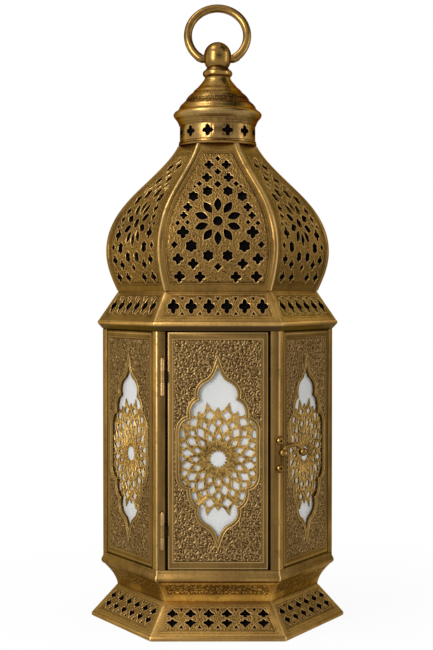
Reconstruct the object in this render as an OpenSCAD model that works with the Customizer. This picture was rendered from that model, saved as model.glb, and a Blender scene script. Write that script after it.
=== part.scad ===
// Six-sided pierced brass lantern with an onion dome, a hinged glazed door and a bail ring.
// The axis of the lantern is +Z, the rim of the foot stands on z = 0 and the door faces -Y.
// A radius of a six-sided piece is measured to its corners, which lie on +X and every 60 degrees.

/* [Body] */
// Corner radius of the body over its posts
body_r = 82.7; // [72:0.1:95]
// Height of the posts between the two rails
body_h = 160.8; // [130:0.1:220]
// Thickness of the sheet brass
sheet = 1.2; // [0.8:0.1:1.6]
// Width of the outer flange of a post on each of its two faces
flange_w = 5.95; // [4.5:0.05:8]
// Width of the inner flange that carries the panels
ledge_w = 3.25; // [2.2:0.05:3.6]

/* [Foot and base] */
// Corner radius of the foot rim
foot_r = 91.2; // [85:0.1:105]
// Height of the foot rim
foot_h = 3.6; // [2.4:0.1:6]
// Width of the foot rim across its flat underside
foot_w = 3.4; // [2.6:0.1:6]
// Height of the pierced skirt
skirt_h = 19.8; // [16:0.1:30]
// Corner radius of the waist between skirt and cove
waist_r = 72.2; // [66:0.1:78]
// Height of the hollow cove above the waist
cove_h = 14.4; // [9:0.1:20]
// Height of the bottom rail
rail_h = 8.7; // [6.5:0.1:12]
// How far the bottom rail swells past the posts
rail_swell = 1.5; // [0.5:0.1:3]

/* [Cornice] */
// Height of the cornice moulding
moulding_h = 6.5; // [6:0.1:11]
// How far the cornice moulding overhangs the posts
moulding_swell = 3.9; // [2:0.1:6]
// Height of the pierced cornice
cornice_h = 20.7; // [15:0.1:28]

/* [Dome] */
// Widest corner radius of the onion dome
dome_r = 79.4; // [72:0.1:92]
// Height of the onion dome
dome_h = 103.5; // [85:0.1:130]
// Width of the strip over each corner of the dome
rib_w = 4.2; // [2.5:0.1:6]
// Thickness of the strip over each corner of the dome
rib_t = 0.6; // [0.4:0.1:1]

/* [Crown] */
// Radius of the round gallery under the cap
gallery_r = 27.1; // [24:0.1:28]
// Height of the pierced gallery
gallery_h = 10.8; // [9.5:0.1:15]
// Height of the beaded collar on the dome
collar_h = 3.5; // [2.5:0.1:5]
// Widest radius of the cap
cap_r = 31.7; // [30:0.1:38]
// Height of the cap
cap_h = 34.2; // [28:0.1:42]
// Radius of the ball of the finial
ball_r = 9.84; // [8.8:0.02:12]
// Height of the finial from the cap to the top of its ball
finial_h = 26.2; // [25:0.1:32]
// Radius of the stud under the finial
stud_r = 3; // [2:0.1:3.5]

/* [Bail ring] */
// Radius of the bail ring to the middle of its wire
ring_r = 21.3; // [19:0.1:28]
// Radius of the wire of the bail ring
wire_r = 2.95; // [2:0.05:3.2]
// Lean of the bail ring to the back, in degrees
ring_lean = 15; // [0:1:40]

/* [Panels and glass] */
// Width of the cartouche window as a share of the sunk field's width
window_w_share = 0.854; // [0.7:0.01:0.88]
// Height of the cartouche window as a share of the body's height
window_h_share = 0.721; // [0.6:0.01:0.76]
// Width of the raised border around the window
border_w = 2.7; // [1.5:0.1:3.2]
// Depth of the return along the edges of a panel
panel_depth = 2.7; // [2:0.1:3.6]
// Width of the smooth frame around the sunk field
frame_w = 5; // [3.5:0.1:5.6]
// Thickness of a grille
grille_t = 0.8; // [0.6:0.1:1]
// Radius of the rosette over its tips as a share of the window's half width
rosette_r_share = 1.51; // [1.3:0.01:1.6]
// Thickness of a pane
glass_t = 1.6; // [1.2:0.1:2.4]

/* [Door] */
// Gap around the door at the hinge side and the latch side
door_gap = 1.8; // [1.1:0.1:2.4]
// Gap over and under the door
door_play = 0.7; // [0.4:0.1:1.2]
// Radius of a hinge barrel
barrel_r = 1.6; // [1.4:0.05:2]
// Height of a hinge barrel
barrel_h = 24; // [16:0.5:30]
// Radius of a hinge pin
hinge_pin_r = 0.7; // [0.5:0.05:0.9]

/* [Latch] */
// Reach of the latch lever from its pivot to its knob
lever_reach = 16.4; // [13:0.1:19]
// Rise of the arch of the lever
lever_rise = 5.3; // [3:0.1:7]
// Radius of the wire of the lever
lever_r = 1.35; // [0.8:0.05:1.5]
// Radius of the knob at the end of the lever
knob_r = 2.9; // [2:0.1:3.4]

/* [Candle] */
// Radius of the socket of the candle cup
cup_r = 20; // [15:0.5:30]
// Depth of the socket of the candle cup
cup_depth = 11; // [8:0.5:20]

/* [Fit] */
// Running clearance of a pin in its bore, on the radius
pin_fit = 0.05; // [0.02:0.01:0.08]
// Gap between neighbouring knuckles of a hinge
knuckle_gap = 0.2; // [0.1:0.05:0.4]
// Gap at the mitred seam between two neighbouring panels
seam_gap = 0.1; // [0.05:0.05:0.2]
// Gap around a fixed panel in its frame
panel_gap = 0.3; // [0.2:0.05:0.5]

/* [Hidden] */

// Overrun of every cut past the faces that it opens
over = 1;
// Number of sides, and the angle from a face to its corner
sides = 6;
turn = 360 / sides;
flat_share = cos(turn / 2);

// Heights of the seats, from the floor up
skirt_z = foot_h;
waist_z = skirt_z + skirt_h;
rail_z = waist_z + cove_h;
body_z = rail_z + rail_h;
moulding_z = body_z + body_h;
cornice_z = moulding_z + moulding_h;
dome_z = cornice_z + cornice_h;
collar_z = dome_z + dome_h;
gallery_z = collar_z + collar_h;
cap_z = gallery_z + gallery_h;
finial_z = cap_z + cap_h;

// Radii that follow from their neighbours
skirt_r = foot_r - 0.3 * foot_w;
cove_r = body_r - sheet;
moulding_r = body_r + moulding_swell;
cornice_low_r = moulding_r - sheet;
dome_low_r = 0.897 * dome_r;
face_y = body_r * flat_share;

// Share of the height and of the radius at each control point of the dome's three curves
ogee_shares = [
    [0.897, 0], [0.947, 0.08], [1, 0.174], [1, 0.272], [1, 0.461], [0.844, 0.597],
    [0.694, 0.706], [0.517, 0.835], [0.404, 0.917], [0.349, 1]
];
ogee_steps = 7;

// Places of the holes of a dome panel: across as a share of the dome's radius, up as a share
// of its height, size as a share of its radius, and the kind of hole
QUATREFOIL = 0;
DIAMOND = 1;
ROUNDED = 2;
dome_hole_shares = [
    [0.075, 0.844, 0.044, QUATREFOIL], [0.093, 0.752, 0.046, QUATREFOIL],
    [0.158, 0.708, 0.026, DIAMOND], [0.198, 0.688, 0.015, DIAMOND],
    [0.088, 0.656, 0.048, ROUNDED], [0.209, 0.620, 0.048, ROUNDED],
    [0.255, 0.545, 0.041, QUATREFOIL], [0.290, 0.490, 0.035, QUATREFOIL],
    [0.256, 0.445, 0.022, DIAMOND], [0.340, 0.440, 0.024, DIAMOND],
    [0.295, 0.380, 0.057, QUATREFOIL], [0.225, 0.290, 0.055, ROUNDED],
    [0.368, 0.298, 0.033, DIAMOND], [0.082, 0.227, 0.051, ROUNDED],
    [0.338, 0.207, 0.050, QUATREFOIL], [0.210, 0.175, 0.048, QUATREFOIL],
    [0.326, 0.092, 0.050, QUATREFOIL], [0.152, 0.090, 0.048, QUATREFOIL]
];
// Holes on the middle line of a dome panel: up, size and kind
dome_middle_shares = [
    [0.888, 0.026, DIAMOND], [0.794, 0.033, DIAMOND], [0.705, 0.035, DIAMOND],
    [0.155, 0.035, DIAMOND]
];
// Rosette of leaves on a dome panel
dome_rosette_z = dome_z + 0.453 * dome_h;
dome_rosette_r = 0.145 * dome_r;
dome_leaf_l = 0.124 * dome_r;
dome_leaf_w = 0.067 * dome_r;
dome_eye_r = 0.043 * dome_r;
dome_leaves = 10;

// Radius of a motif at even angles from the tip of a lobe to the notch beside it, as shares
quatrefoil_shares = [1, 0.86, 0.56];
diamond_shares = [1, 0.68];
rounded_shares = [1, 0.88, 0.76];
// Right half of a spade from its tip to its foot, as shares of its size
spade_shares = [
    [0, 0.94], [0.26, 0.56], [0.5, 0.28], [0.94, 0.02], [1, -0.22], [0.66, -0.4], [0.34, -0.42],
    [0.3, -0.66], [0, -0.78]
];

// Rows of the pierced skirt: columns, pitch and heights along the slope, as shares
skirt_columns = 6;
skirt_pitch = 0.17 * waist_r;
skirt_row_shares = [0.655, 0.375];
skirt_triangle_shares = [0.755, 0.275];
spade_size = 0.19 * skirt_h;
cornice_columns = 6;
cornice_pitch = 0.168 * dome_low_r;
cornice_row_share = 0.49;
cornice_stretch = 1.45;
cornice_triangle_shares = [0.73, 0.27];
cornice_motif_r = 0.198 * cornice_h;
triangle_size = 0.071 * cornice_h;

// Gallery
gallery_holes = 12;
gallery_motif_r = 0.385 * gallery_h;
gallery_row_share = 0.52;
collar_in_r = gallery_r - 4 * sheet;
collar_bead = 0.8 * sheet;

// Cap: radius and height of the outline from the gallery to the finial, as shares
cap_shares = [
    [0.865, 0], [0.875, 0.048], [0.9, 0.088], [0.932, 0.131], [0.968, 0.172], [0.99, 0.2],
    [1, 0.23], [0.99, 0.265], [0.965, 0.3], [0.93, 0.325], [0.885, 0.362], [0.868, 0.387],
    [0.842, 0.425], [0.822, 0.447], [0.765, 0.494], [0.73, 0.525], [0.7, 0.577],
    [0.668, 0.617], [0.648, 0.638], [0.592, 0.681], [0.564, 0.702], [0.53, 0.746],
    [0.508, 0.766], [0.412, 0.851], [0.305, 0.972], [0.295, 1]
];
cap_wall_share = 0.9;
cap_head_t = 1.25 * sheet;

// Finial: collar, neck and ball
finial_foot_r = 0.295 * cap_r;
collar_ring_r = 0.265 * ball_r;
collar_ring_z = finial_z + 0.133 * finial_h;
neck_r = 0.77 * ball_r;
neck_z = finial_z + 0.3 * finial_h;
ball_z = finial_z + finial_h - ball_r;
nut_r = 1.8 * stud_r;
nut_h = 1.3 * stud_r;
stud_end_z = finial_z - cap_head_t - 1.5 * nut_h;

// Bail ring: its two ends run straight out of the ball, bend and join the ring in a sleeve
ring_axis_z = ball_z - 0.22 * ball_r;
ring_bend_r = 1.35 * wire_r;
ring_bend_x = ball_r + pin_fit + panel_gap;
ring_run = 0.4 * wire_r;
sleeve_r = 1.06 * wire_r;
sleeve_lap = 0.15 * wire_r;
ring_bend = asin(ring_bend_x / norm([ring_r - ring_bend_r, ring_run]))
    + atan(ring_run / (ring_r - ring_bend_r));
ring_centre = ring_bend_r * (1 - cos(ring_bend)) + ring_run * sin(ring_bend)
    + ring_r * cos(ring_bend);
ring_end_x = 0.35 * ball_r;

// Post section: the outer flange, the web and the inner flange that carries the panels
panel_face = 0.25 * sheet;
rebate = panel_face + panel_depth;
opening_half = body_r / 2 - flange_w;
side_half = opening_half - panel_gap;
door_half = opening_half - door_gap;
door_low = body_z + door_play;
door_high = moulding_z - door_play;
side_low = body_z + panel_gap;
side_high = moulding_z - panel_gap;
door_stop_gap = 0.75 * panel_gap;

// Window and grille
window_half_w = window_w_share * (side_half - frame_w);
window_half_h = window_h_share * body_h / 2;
rosette_r = rosette_r_share * window_half_w;
window_z = body_z + 0.49 * body_h;
rosette_z = body_z + 0.465 * body_h;
field_sink = 0.35 * sheet;
border_proud = 0.35 * sheet;
grille_hold = 2 * grille_t;
grille_face = panel_face + sheet;
glass_face = grille_face + grille_t;
glass_back = glass_face + glass_t;
glass_half_w = 1.17 * window_half_w;
glass_half_h = 1.17 * window_half_h;
tab_t = 0.5 * sheet;
tab_h = 5 * sheet;
tab_hold = 0.9 * sheet;
tab_place_share = 0.8;
// Upper right quarter of the window, across and up as shares of its half width and half height
window_tip_shares = [[0, 1], [0.06, 0.92], [0.13, 0.87], [0.23, 0.836]];
window_lobe_shares = [[0.23, 0.836], [0.44, 0.80], [0.58, 0.72], [0.467, 0.616]];
window_shoulder_shares = [[0.467, 0.616], [0.72, 0.60], [0.74, 0.45], [0.70, 0.395]];
window_side_shares = [[0.70, 0.395], [0.9, 0.395], [1, 0.33], [1, 0.25]];
window_steps = 5;
// Rosette: number of rays, and the radii of the spired edge and of the star in its middle
rays = 16;
edge_shares = [1, 0.87, 0.82, 0.9, 0.82, 0.87];
star_shares = [0.165, 0.125];
// Rings of holes of the rosette: inner end, widest place and outer end along the ray, half
// width there, and how far the ring is turned from the upright, as a share of a step
ring_hole_shares = [
    [0.30, 0.395, 0.47, 0.048, 0], [0.44, 0.553, 0.652, 0.072, 0.5],
    [0.565, 0.635, 0.705, 0.055, 0], [0.69, 0.77, 0.86, 0.09, 0.5]
];

// Bottom and top frame
ledge_r = body_r - (rebate + 2.2 * sheet) / flat_share;
tray_r = (face_y - rebate - sheet - panel_gap) / flat_share;
tray_rim_h = 3 * sheet;
top_rail_h = 6.5 * sheet;

// Hinges
hinge_shares = [0.165, 0.81];
barrel_x = -(opening_half + barrel_r + 0.15 * barrel_r);
barrel_y = -(face_y + barrel_r + 2 * pin_fit);
leaf_t = 0.5;
leaf_w = 1.95 * barrel_r;
knuckle_shares = [0, 0.34, 0.66, 1];
pin_head_r = 0.75 * barrel_r;
door_leaf_depth = 0.85 * panel_depth;

// Latch on the front right corner
latch_z = body_z + 0.494 * body_h;
plate_t = 0.5 * sheet;
plate_half_w = 0.95 * knob_r;
rivet_places = [0.48 * lever_reach, -0.65 * lever_reach];
rivet_r = 0.85 * knob_r;
rivet_eye_r = 0.42 * rivet_r;
rivet_shank_r = 0.35 * knob_r;
rivet_rise = 0.45 * knob_r;
lever_hub_r = 0.86 * knob_r;
lever_pin_r = 0.3 * knob_r;
lever_out = plate_t / flat_share + rivet_rise + lever_r + 2 * panel_gap;
lever_arc_r = (lever_reach * lever_reach / 4 + lever_rise * lever_rise) / (2 * lever_rise);
lever_arc_half = asin(lever_reach / 2 / lever_arc_r);

// Candle cup
cup_wall = sheet;
cup_floor = sheet;
cup_foot_w = 3 * sheet;

// Colours of the finishes
brass = [0.62, 0.47, 0.22];
pale_brass = [0.72, 0.56, 0.28];
dark_brass = [0.45, 0.33, 0.15];
frost = [0.9, 0.92, 0.92];

// Points of a cubic curve from its four control points
function curve(p, steps) = [
    for (i = [0 : steps]) let (t = i / steps, s = 1 - t)
        s * s * s * p[0] + 3 * s * s * t * p[1] + 3 * s * t * t * p[2] + t * t * t * p[3]
];

// The same points in the opposite order
function reversed(points) = [for (i = [len(points) - 1 : -1 : 0]) points[i]];

// A table of shares as points, each across by one size and up by another
function sized(shares, across, up, base = 0) = [
    for (s = shares) [s[0] * across, base + s[1] * up]
];

// Outline of a lobed motif whose radius follows the shares from each tip to each notch
function lobed(shares, lobes, r) = let (n = len(shares) - 1) [
    for (i = [0 : 2 * n * lobes - 1]) let (k = i % (2 * n), a = 180 * i / (n * lobes))
        r * shares[k <= n ? k : 2 * n - k] * [sin(a), cos(a)]
];

// Outline of a leaf of a length and a width, standing on end
function leaf(l, w) = let (n = 5) [
    for (i = [0 : 2 * n - 1]) let (t = (i < n ? i : 2 * n - i) / n)
        [(i < n ? 1 : -1) * w / 2 * sin(180 * t), l * (t - 1 / 2)]
];

// Corner line of the dome as corner radius and height
dome_line = concat(
    curve(sized([for (i = [0 : 3]) ogee_shares[i]], dome_r, dome_h, dome_z), ogee_steps),
    [for (i = [1 : ogee_steps])
        curve(sized([for (k = [3 : 6]) ogee_shares[k]], dome_r, dome_h, dome_z), ogee_steps)[i]],
    [for (i = [1 : ogee_steps])
        curve(sized([for (k = [6 : 9]) ogee_shares[k]], dome_r, dome_h, dome_z), ogee_steps)[i]]
);

// A line moved level, inwards for a positive distance, so that a wall of that thickness
// lies between the two lines
function moved_in(line, wall) = [
    for (i = [0 : len(line) - 1])
        let (a = line[max(i - 1, 0)], b = line[min(i + 1, len(line) - 1)], d = b - a)
            [line[i][0] - wall * norm(d) / d[1], line[i][1]]
];

// Corner radii turned into distances from the axis to the faces
function on_flat(line) = [for (p = line) [p[0] * flat_share, p[1]]];

// Whole outline of the cartouche window about its middle
window_quarter = concat(
    curve(window_tip_shares, window_steps - 2),
    [for (i = [1 : window_steps]) curve(window_lobe_shares, window_steps)[i]],
    [for (i = [1 : window_steps]) curve(window_shoulder_shares, window_steps)[i]],
    [for (i = [1 : window_steps]) curve(window_side_shares, window_steps)[i]]
);
window_right = concat(
    window_quarter, [for (p = reversed(window_quarter)) [p[0], -p[1]]]
);
window_outline = concat(
    window_right,
    [for (i = [len(window_right) - 2 : -1 : 1]) [-window_right[i][0], window_right[i][1]]]
);

// Turns what is drawn for the front onto another face, counted towards the right
module on_face(i) {
    rotate([0, 0, turn * i]) children();
}

// Draws in the plane of the front face: across, up, and outwards from the body's axis
module front_plane() {
    rotate([90, 0, 0]) children();
}

// Frame of a corner: x outwards from the corner of the posts, y along the tangent
module on_corner(i) {
    rotate([0, 0, turn * i]) translate([body_r, 0, 0]) children();
}

// Six-sided ring swept from an outline of corner radius and height
module hex_ring(outline) {
    rotate_extrude($fn = sides) polygon(outline);
}

// Six-sided prism between two heights
module hex_prism(r, low, high) {
    translate([0, 0, low]) linear_extrude(high - low) circle(r = r, $fn = sides);
}

// The part of space that belongs to the front face, between two heights
module front_wedge(low, high) {
    reach = 2 * foot_r;
    translate([0, -seam_gap, low])
        linear_extrude(high - low)
            polygon([[0, 0], [-reach * sin(turn / 2), -reach * flat_share],
                [reach * sin(turn / 2), -reach * flat_share]]);
}

// Draws on a sloping front face: across, up the slope from its lower edge, and outwards
module on_slope(low_r, low_z, high_r, high_z) {
    lean = atan2(high_z - low_z, (low_r - high_r) * flat_share);
    translate([0, -low_r * flat_share, low_z]) rotate([lean, 0, 0]) children();
}

// Length of a sloping face from its lower to its upper edge
function slope_length(low_r, low_z, high_r, high_z) =
    norm([(low_r - high_r) * flat_share, high_z - low_z]);

// One hole of the pierced work
module motif(kind, r) {
    if (kind == QUATREFOIL) polygon(lobed(quatrefoil_shares, 4, r));
    if (kind == DIAMOND) polygon(lobed(diamond_shares, 4, r));
    if (kind == ROUNDED) polygon(lobed(rounded_shares, 6, r));
}

// Small triangle with its point up, or down for a negative size
module triangle(size) {
    polygon([[-abs(size), -size * flat_share], [abs(size), -size * flat_share],
        [0, size * flat_share]]);
}

// Spade with its point up, or down for a negative size
module spade(size) {
    last = len(spade_shares) - 1;
    polygon(concat(sized(spade_shares, size, size),
        [for (i = [last - 1 : -1 : 1]) [-size * spade_shares[i][0], size * spade_shares[i][1]]]));
}

// Middle of each of a number of columns on a row
function columns(count, pitch) = [for (i = [0 : count - 1]) (i - (count - 1) / 2) * pitch];

// Foot rim with rolled edges, flat underneath
module foot_rim() {
    roll = 0.25 * foot_h;
    color(brass)
        hex_ring([[foot_r - foot_w, 0], [foot_r - roll, 0], [foot_r, roll],
            [foot_r, foot_h - 1.6 * roll], [foot_r - 0.8 * roll, foot_h],
            [foot_r - foot_w, foot_h]]);
}

// One sloping panel of the base with two rows of spades
module base_panel() {
    length = slope_length(skirt_r, skirt_z, waist_r, waist_z);
    difference() {
        intersection() {
            on_slope(skirt_r, skirt_z, waist_r, waist_z)
                translate([-foot_r, -length, -sheet])
                    cube([2 * foot_r, 3 * length, sheet]);
            front_wedge(skirt_z, waist_z);
        }
        on_slope(skirt_r, skirt_z, waist_r, waist_z)
            translate([0, 0, -sheet - over])
                linear_extrude(sheet + 2 * over)
                    offset(delta = 0) base_pattern(length);
    }
}

// Holes of a base panel, measured up its slope
module base_pattern(length) {
    for (x = columns(skirt_columns, skirt_pitch)) {
        translate([x, skirt_row_shares[0] * length]) spade(spade_size);
        translate([x, skirt_row_shares[1] * length]) spade(-spade_size);
    }
    for (x = columns(skirt_columns - 1, skirt_pitch)) {
        translate([x, skirt_triangle_shares[0] * length]) triangle(-triangle_size);
        translate([x, skirt_triangle_shares[1] * length]) triangle(triangle_size);
    }
}

module base_panels() {
    color(brass) for (i = [0 : sides - 1]) on_face(i) base_panel();
}

// Hollow cove between waist and bottom rail
module cove_band() {
    spread = cove_r - waist_r;
    line = curve([[waist_r, waist_z], [waist_r + 0.12 * spread, waist_z + 0.4 * cove_h],
        [waist_r + 0.5 * spread, waist_z + 0.7 * cove_h], [cove_r, rail_z]], ogee_steps);
    color(brass) hex_ring(concat(line, reversed(moved_in(line, sheet / flat_share))));
}

// Bottom rail with a swelling edge and a ledge inside for posts and tray
module bottom_rail() {
    swell = body_r + rail_swell;
    inner = cove_r - 1.5 * sheet;
    color(pale_brass)
        hex_ring([[inner, rail_z], [cove_r, rail_z], [body_r, rail_z + 0.08 * rail_h],
            [swell - 0.35 * rail_swell, rail_z + 0.17 * rail_h],
            [swell, rail_z + 0.32 * rail_h], [swell - 0.3 * rail_swell, rail_z + 0.5 * rail_h],
            [body_r, rail_z + 0.72 * rail_h], [body_r, body_z], [ledge_r, body_z],
            [ledge_r, body_z - sheet], [inner, body_z - sheet]]);
}

// Tray that closes the bottom of the body, with a low rim that stops the door
module floor_tray() {
    color(dark_brass) {
        hex_prism(tray_r, body_z, body_z + sheet);
        difference() {
            hex_prism(tray_r, body_z, body_z + tray_rim_h);
            hex_prism(tray_r - sheet, body_z - over, body_z + tray_rim_h + over);
        }
    }
}

// Cup for a candle on the middle of the tray
module candle_cup() {
    low = body_z + sheet;
    color(brass) translate([0, 0, low]) difference() {
        union() {
            cylinder(r = cup_r + cup_wall, h = cup_floor + cup_depth, $fn = 64);
            cylinder(r = cup_r + cup_wall + cup_foot_w, h = cup_floor, $fn = 64);
        }
        translate([0, 0, cup_floor])
            cylinder(r = cup_r, h = cup_depth + over, $fn = 64);
    }
}

// Half of a post's section on one face: along the face and inwards from it
half_post = [
    [0, 0], [flange_w, 0], [flange_w, rebate], [flange_w + ledge_w, rebate],
    [flange_w + ledge_w, rebate + sheet], [flange_w - sheet, rebate + sheet],
    [flange_w - sheet, sheet], [sheet * tan(turn / 2), sheet]
];

// A point of the section in the frame of its corner, on one face or mirrored on the other
function at_corner(p, side) = let (a = turn / 2 + 90)
    [p[0] * cos(a) - p[1] * sin(a), side * (p[0] * sin(a) + p[1] * cos(a))];

// One post, a sheet folded over its corner with a rebate for the panels on both sides
module post(i) {
    last = len(half_post) - 1;
    color(pale_brass) difference() {
        on_corner(i) translate([0, 0, body_z]) linear_extrude(body_h)
            polygon(concat([for (p = half_post) at_corner(p, 1)],
                [for (k = [last - 1 : -1 : 1]) at_corner(half_post[k], -1)]));
        if (i == sides - 1) on_corner(i) latch_holes();
    }
}

// Holes of the front right post for the rivets and the pivot of the latch
module latch_holes() {
    for (z = rivet_places)
        translate([-body_r / 4, 0, latch_z + z]) rotate([0, 90, 0])
            cylinder(r = rivet_shank_r + pin_fit, h = body_r, $fn = 32);
    translate([-body_r / 4, 0, latch_z]) rotate([0, 90, 0])
        cylinder(r = lever_pin_r + pin_fit, h = body_r, $fn = 32);
}

// Inner frame under the cornice that stops the door and holds the heads of the panels
module top_rail() {
    color(dark_brass) difference() {
        hex_prism(tray_r, moulding_z - top_rail_h, moulding_z);
        hex_prism(tray_r - sheet, moulding_z - top_rail_h - over, moulding_z + over);
    }
}

// Cornice moulding that flares from the posts to its edge
module cornice_moulding() {
    wall = 2 * sheet;
    color(pale_brass)
        hex_ring([[ledge_r, moulding_z], [body_r, moulding_z],
            [body_r + 0.12 * moulding_swell, moulding_z + 0.1 * moulding_h],
            [body_r + 0.4 * moulding_swell, moulding_z + 0.27 * moulding_h],
            [moulding_r - 0.1 * moulding_swell, moulding_z + 0.6 * moulding_h],
            [moulding_r, moulding_z + 0.78 * moulding_h],
            [moulding_r - 0.15 * moulding_swell, moulding_z + 0.93 * moulding_h],
            [cornice_low_r, cornice_z], [cornice_low_r - wall, cornice_z],
            [cornice_low_r - wall, moulding_z + 0.62 * moulding_h],
            [body_r - wall, moulding_z + sheet], [ledge_r, moulding_z + sheet]]);
}

// One sloping panel of the cornice with a row of quatrefoils
module cornice_panel() {
    length = slope_length(cornice_low_r, cornice_z, dome_low_r, dome_z);
    difference() {
        intersection() {
            on_slope(cornice_low_r, cornice_z, dome_low_r, dome_z)
                translate([-foot_r, -length, -sheet])
                    cube([2 * foot_r, 3 * length, sheet]);
            front_wedge(cornice_z, dome_z);
        }
        on_slope(cornice_low_r, cornice_z, dome_low_r, dome_z)
            translate([0, 0, -sheet - over])
                linear_extrude(sheet + 2 * over)
                    offset(delta = 0) cornice_pattern(length);
    }
}

// Holes of a cornice panel, measured up its slope
module cornice_pattern(length) {
    for (x = columns(cornice_columns, cornice_pitch))
        translate([x, cornice_row_share * length]) scale([1, cornice_stretch])
            motif(QUATREFOIL, cornice_motif_r);
    for (x = columns(cornice_columns - 1, cornice_pitch)) {
        translate([x, cornice_triangle_shares[0] * length]) triangle(-triangle_size);
        translate([x, cornice_triangle_shares[1] * length]) triangle(triangle_size);
    }
}

module cornice_panels() {
    color(brass) for (i = [0 : sides - 1]) on_face(i) cornice_panel();
}

// Pierced work of a dome panel, seen from the front: across and up
module dome_pattern() {
    for (s = dome_hole_shares) for (side = [-1, 1])
        translate([side * s[0] * dome_r, dome_z + s[1] * dome_h]) motif(s[3], s[2] * dome_r);
    for (s = dome_middle_shares)
        translate([0, dome_z + s[0] * dome_h]) motif(s[2], s[1] * dome_r);
    translate([0, dome_rosette_z]) {
        circle(r = dome_eye_r, $fn = 12);
        for (i = [0 : dome_leaves - 1])
            rotate([0, 0, 360 * i / dome_leaves])
                translate([0, dome_rosette_r]) polygon(leaf(dome_leaf_l, dome_leaf_w));
    }
}

// One curved panel of the onion dome
module dome_panel(i) {
    line = on_flat(dome_line);
    color(brass) on_face(i) difference() {
        intersection() {
            rotate([0, 0, -90]) rotate([90, 0, 0])
                linear_extrude(2 * dome_r, center = true)
                    polygon(concat(line, reversed(moved_in(line, sheet))));
            front_wedge(dome_z, collar_z);
        }
        front_plane() linear_extrude(2 * dome_r) offset(delta = 0) dome_pattern();
    }
}

// Strips folded over the corners of the dome
module dome_ribs() {
    fit = pin_fit / flat_share;
    outer = moved_in(dome_line, -rib_t / flat_share);
    inner = moved_in(dome_line, -fit);
    color(pale_brass) for (i = [0 : sides - 1]) intersection() {
        hex_ring(concat(outer, reversed(inner)));
        rotate([0, 0, turn * i]) translate([0, -rib_w / 2, dome_z])
            cube([2 * dome_r, rib_w, dome_h]);
    }
}

// Beaded collar that closes the top of the dome and carries the gallery
module dome_collar() {
    out_r = gallery_r + collar_bead;
    half = collar_h / 2;
    color(pale_brass) rotate_extrude($fn = 64)
        polygon([[collar_in_r, collar_z], [out_r - collar_bead, collar_z],
            [out_r, collar_z + 0.35 * half], [out_r, collar_z + 1.3 * half],
            [gallery_r, gallery_z], [collar_in_r, gallery_z]]);
}

// Round gallery pierced with quatrefoils
module vent_gallery() {
    color(brass) difference() {
        translate([0, 0, gallery_z]) cylinder(r = gallery_r, h = gallery_h, $fn = 64);
        translate([0, 0, gallery_z - over])
            cylinder(r = gallery_r - sheet, h = gallery_h + 2 * over, $fn = 64);
        for (i = [0 : gallery_holes - 1])
            rotate([0, 0, 360 * (i + 1 / 2) / gallery_holes])
                translate([gallery_r / 2, 0, gallery_z + gallery_row_share * gallery_h])
                    rotate([90, 0, 90]) linear_extrude(gallery_r)
                        motif(QUATREFOIL, gallery_motif_r);
    }
}

// Hollow stepped cap with a rolled rim
module crown_cap() {
    line = sized(cap_shares, cap_r, cap_h, cap_z);
    head_z = finial_z - cap_head_t;
    color(brass) difference() {
        rotate_extrude($fn = 64)
            polygon(concat(line, [[0, finial_z], [0, head_z], [nut_r + 2 * sheet, head_z],
                [cap_wall_share * cap_r, cap_z + 0.23 * cap_h],
                [gallery_r - sheet, cap_z + 0.1 * cap_h], [gallery_r - sheet, cap_z]]));
        translate([0, 0, head_z - over])
            cylinder(r = stud_r + pin_fit, h = cap_head_t + 2 * over, $fn = 48);
    }
}

// Finial: stud, collar bead, neck and ball with a cross bore for the bail ring
module finial() {
    arc_steps = 8;
    bead = [for (i = [0 : arc_steps]) let (a = -70 + 140 * i / arc_steps)
        [0.82 * ball_r + collar_ring_r * cos(a), collar_ring_z + collar_ring_r * sin(a)]];
    belly = curve([[neck_r, neck_z], [0.93 * ball_r, neck_z + 0.18 * ball_r],
        [ball_r, ball_z - 0.45 * ball_r], [ball_r, ball_z]], arc_steps - 2);
    crown = [for (i = [1 : arc_steps]) let (a = 90 * i / arc_steps)
        [ball_r * cos(a), ball_z + ball_r * sin(a)]];
    color(pale_brass) difference() {
        rotate_extrude($fn = 64)
            polygon(concat([[0, stud_end_z], [stud_r, stud_end_z], [stud_r, finial_z],
                [finial_foot_r, finial_z]], bead, belly, crown));
        translate([-ball_r - over, 0, ring_axis_z]) rotate([0, 90, 0])
            cylinder(r = wire_r + pin_fit, h = 2 * (ball_r + over), $fn = 48);
    }
}

// Nut that holds the finial from inside the cap
module finial_nut() {
    color(dark_brass) translate([0, 0, finial_z - cap_head_t - nut_h]) difference() {
        cylinder(r = nut_r, h = nut_h, $fn = 6);
        translate([0, 0, -over]) cylinder(r = stud_r + pin_fit, h = nut_h + 2 * over, $fn = 48);
    }
}

// Bail ring with both ends turned into the cross bore of the ball
module bail_ring() {
    color(pale_brass) translate([0, 0, ring_axis_z]) rotate([90 - ring_lean, 0, 0]) {
        translate([0, ring_centre, 0]) rotate([0, 0, ring_bend - 90])
            rotate_extrude(angle = 360 - 2 * ring_bend, $fn = 96)
                translate([ring_r, 0]) circle(r = wire_r, $fn = 32);
        for (side = [0, 1]) mirror([side, 0, 0]) {
            translate([ring_bend_x, ring_bend_r, 0]) rotate([0, 0, -90])
                rotate_extrude(angle = ring_bend, $fn = 96)
                    translate([ring_bend_r, 0]) circle(r = wire_r, $fn = 32);
            translate([ring_bend_x, ring_bend_r, 0]) rotate([0, 0, ring_bend - 90])
                translate([ring_bend_r, -sleeve_lap, 0]) rotate([-90, 0, 0])
                    cylinder(r = sleeve_r, h = ring_run + 2 * sleeve_lap, $fn = 32);
            translate([ring_end_x, 0, 0]) rotate([0, 90, 0])
                cylinder(r = wire_r, h = ring_bend_x - ring_end_x, $fn = 32);
        }
    }
}

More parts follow.
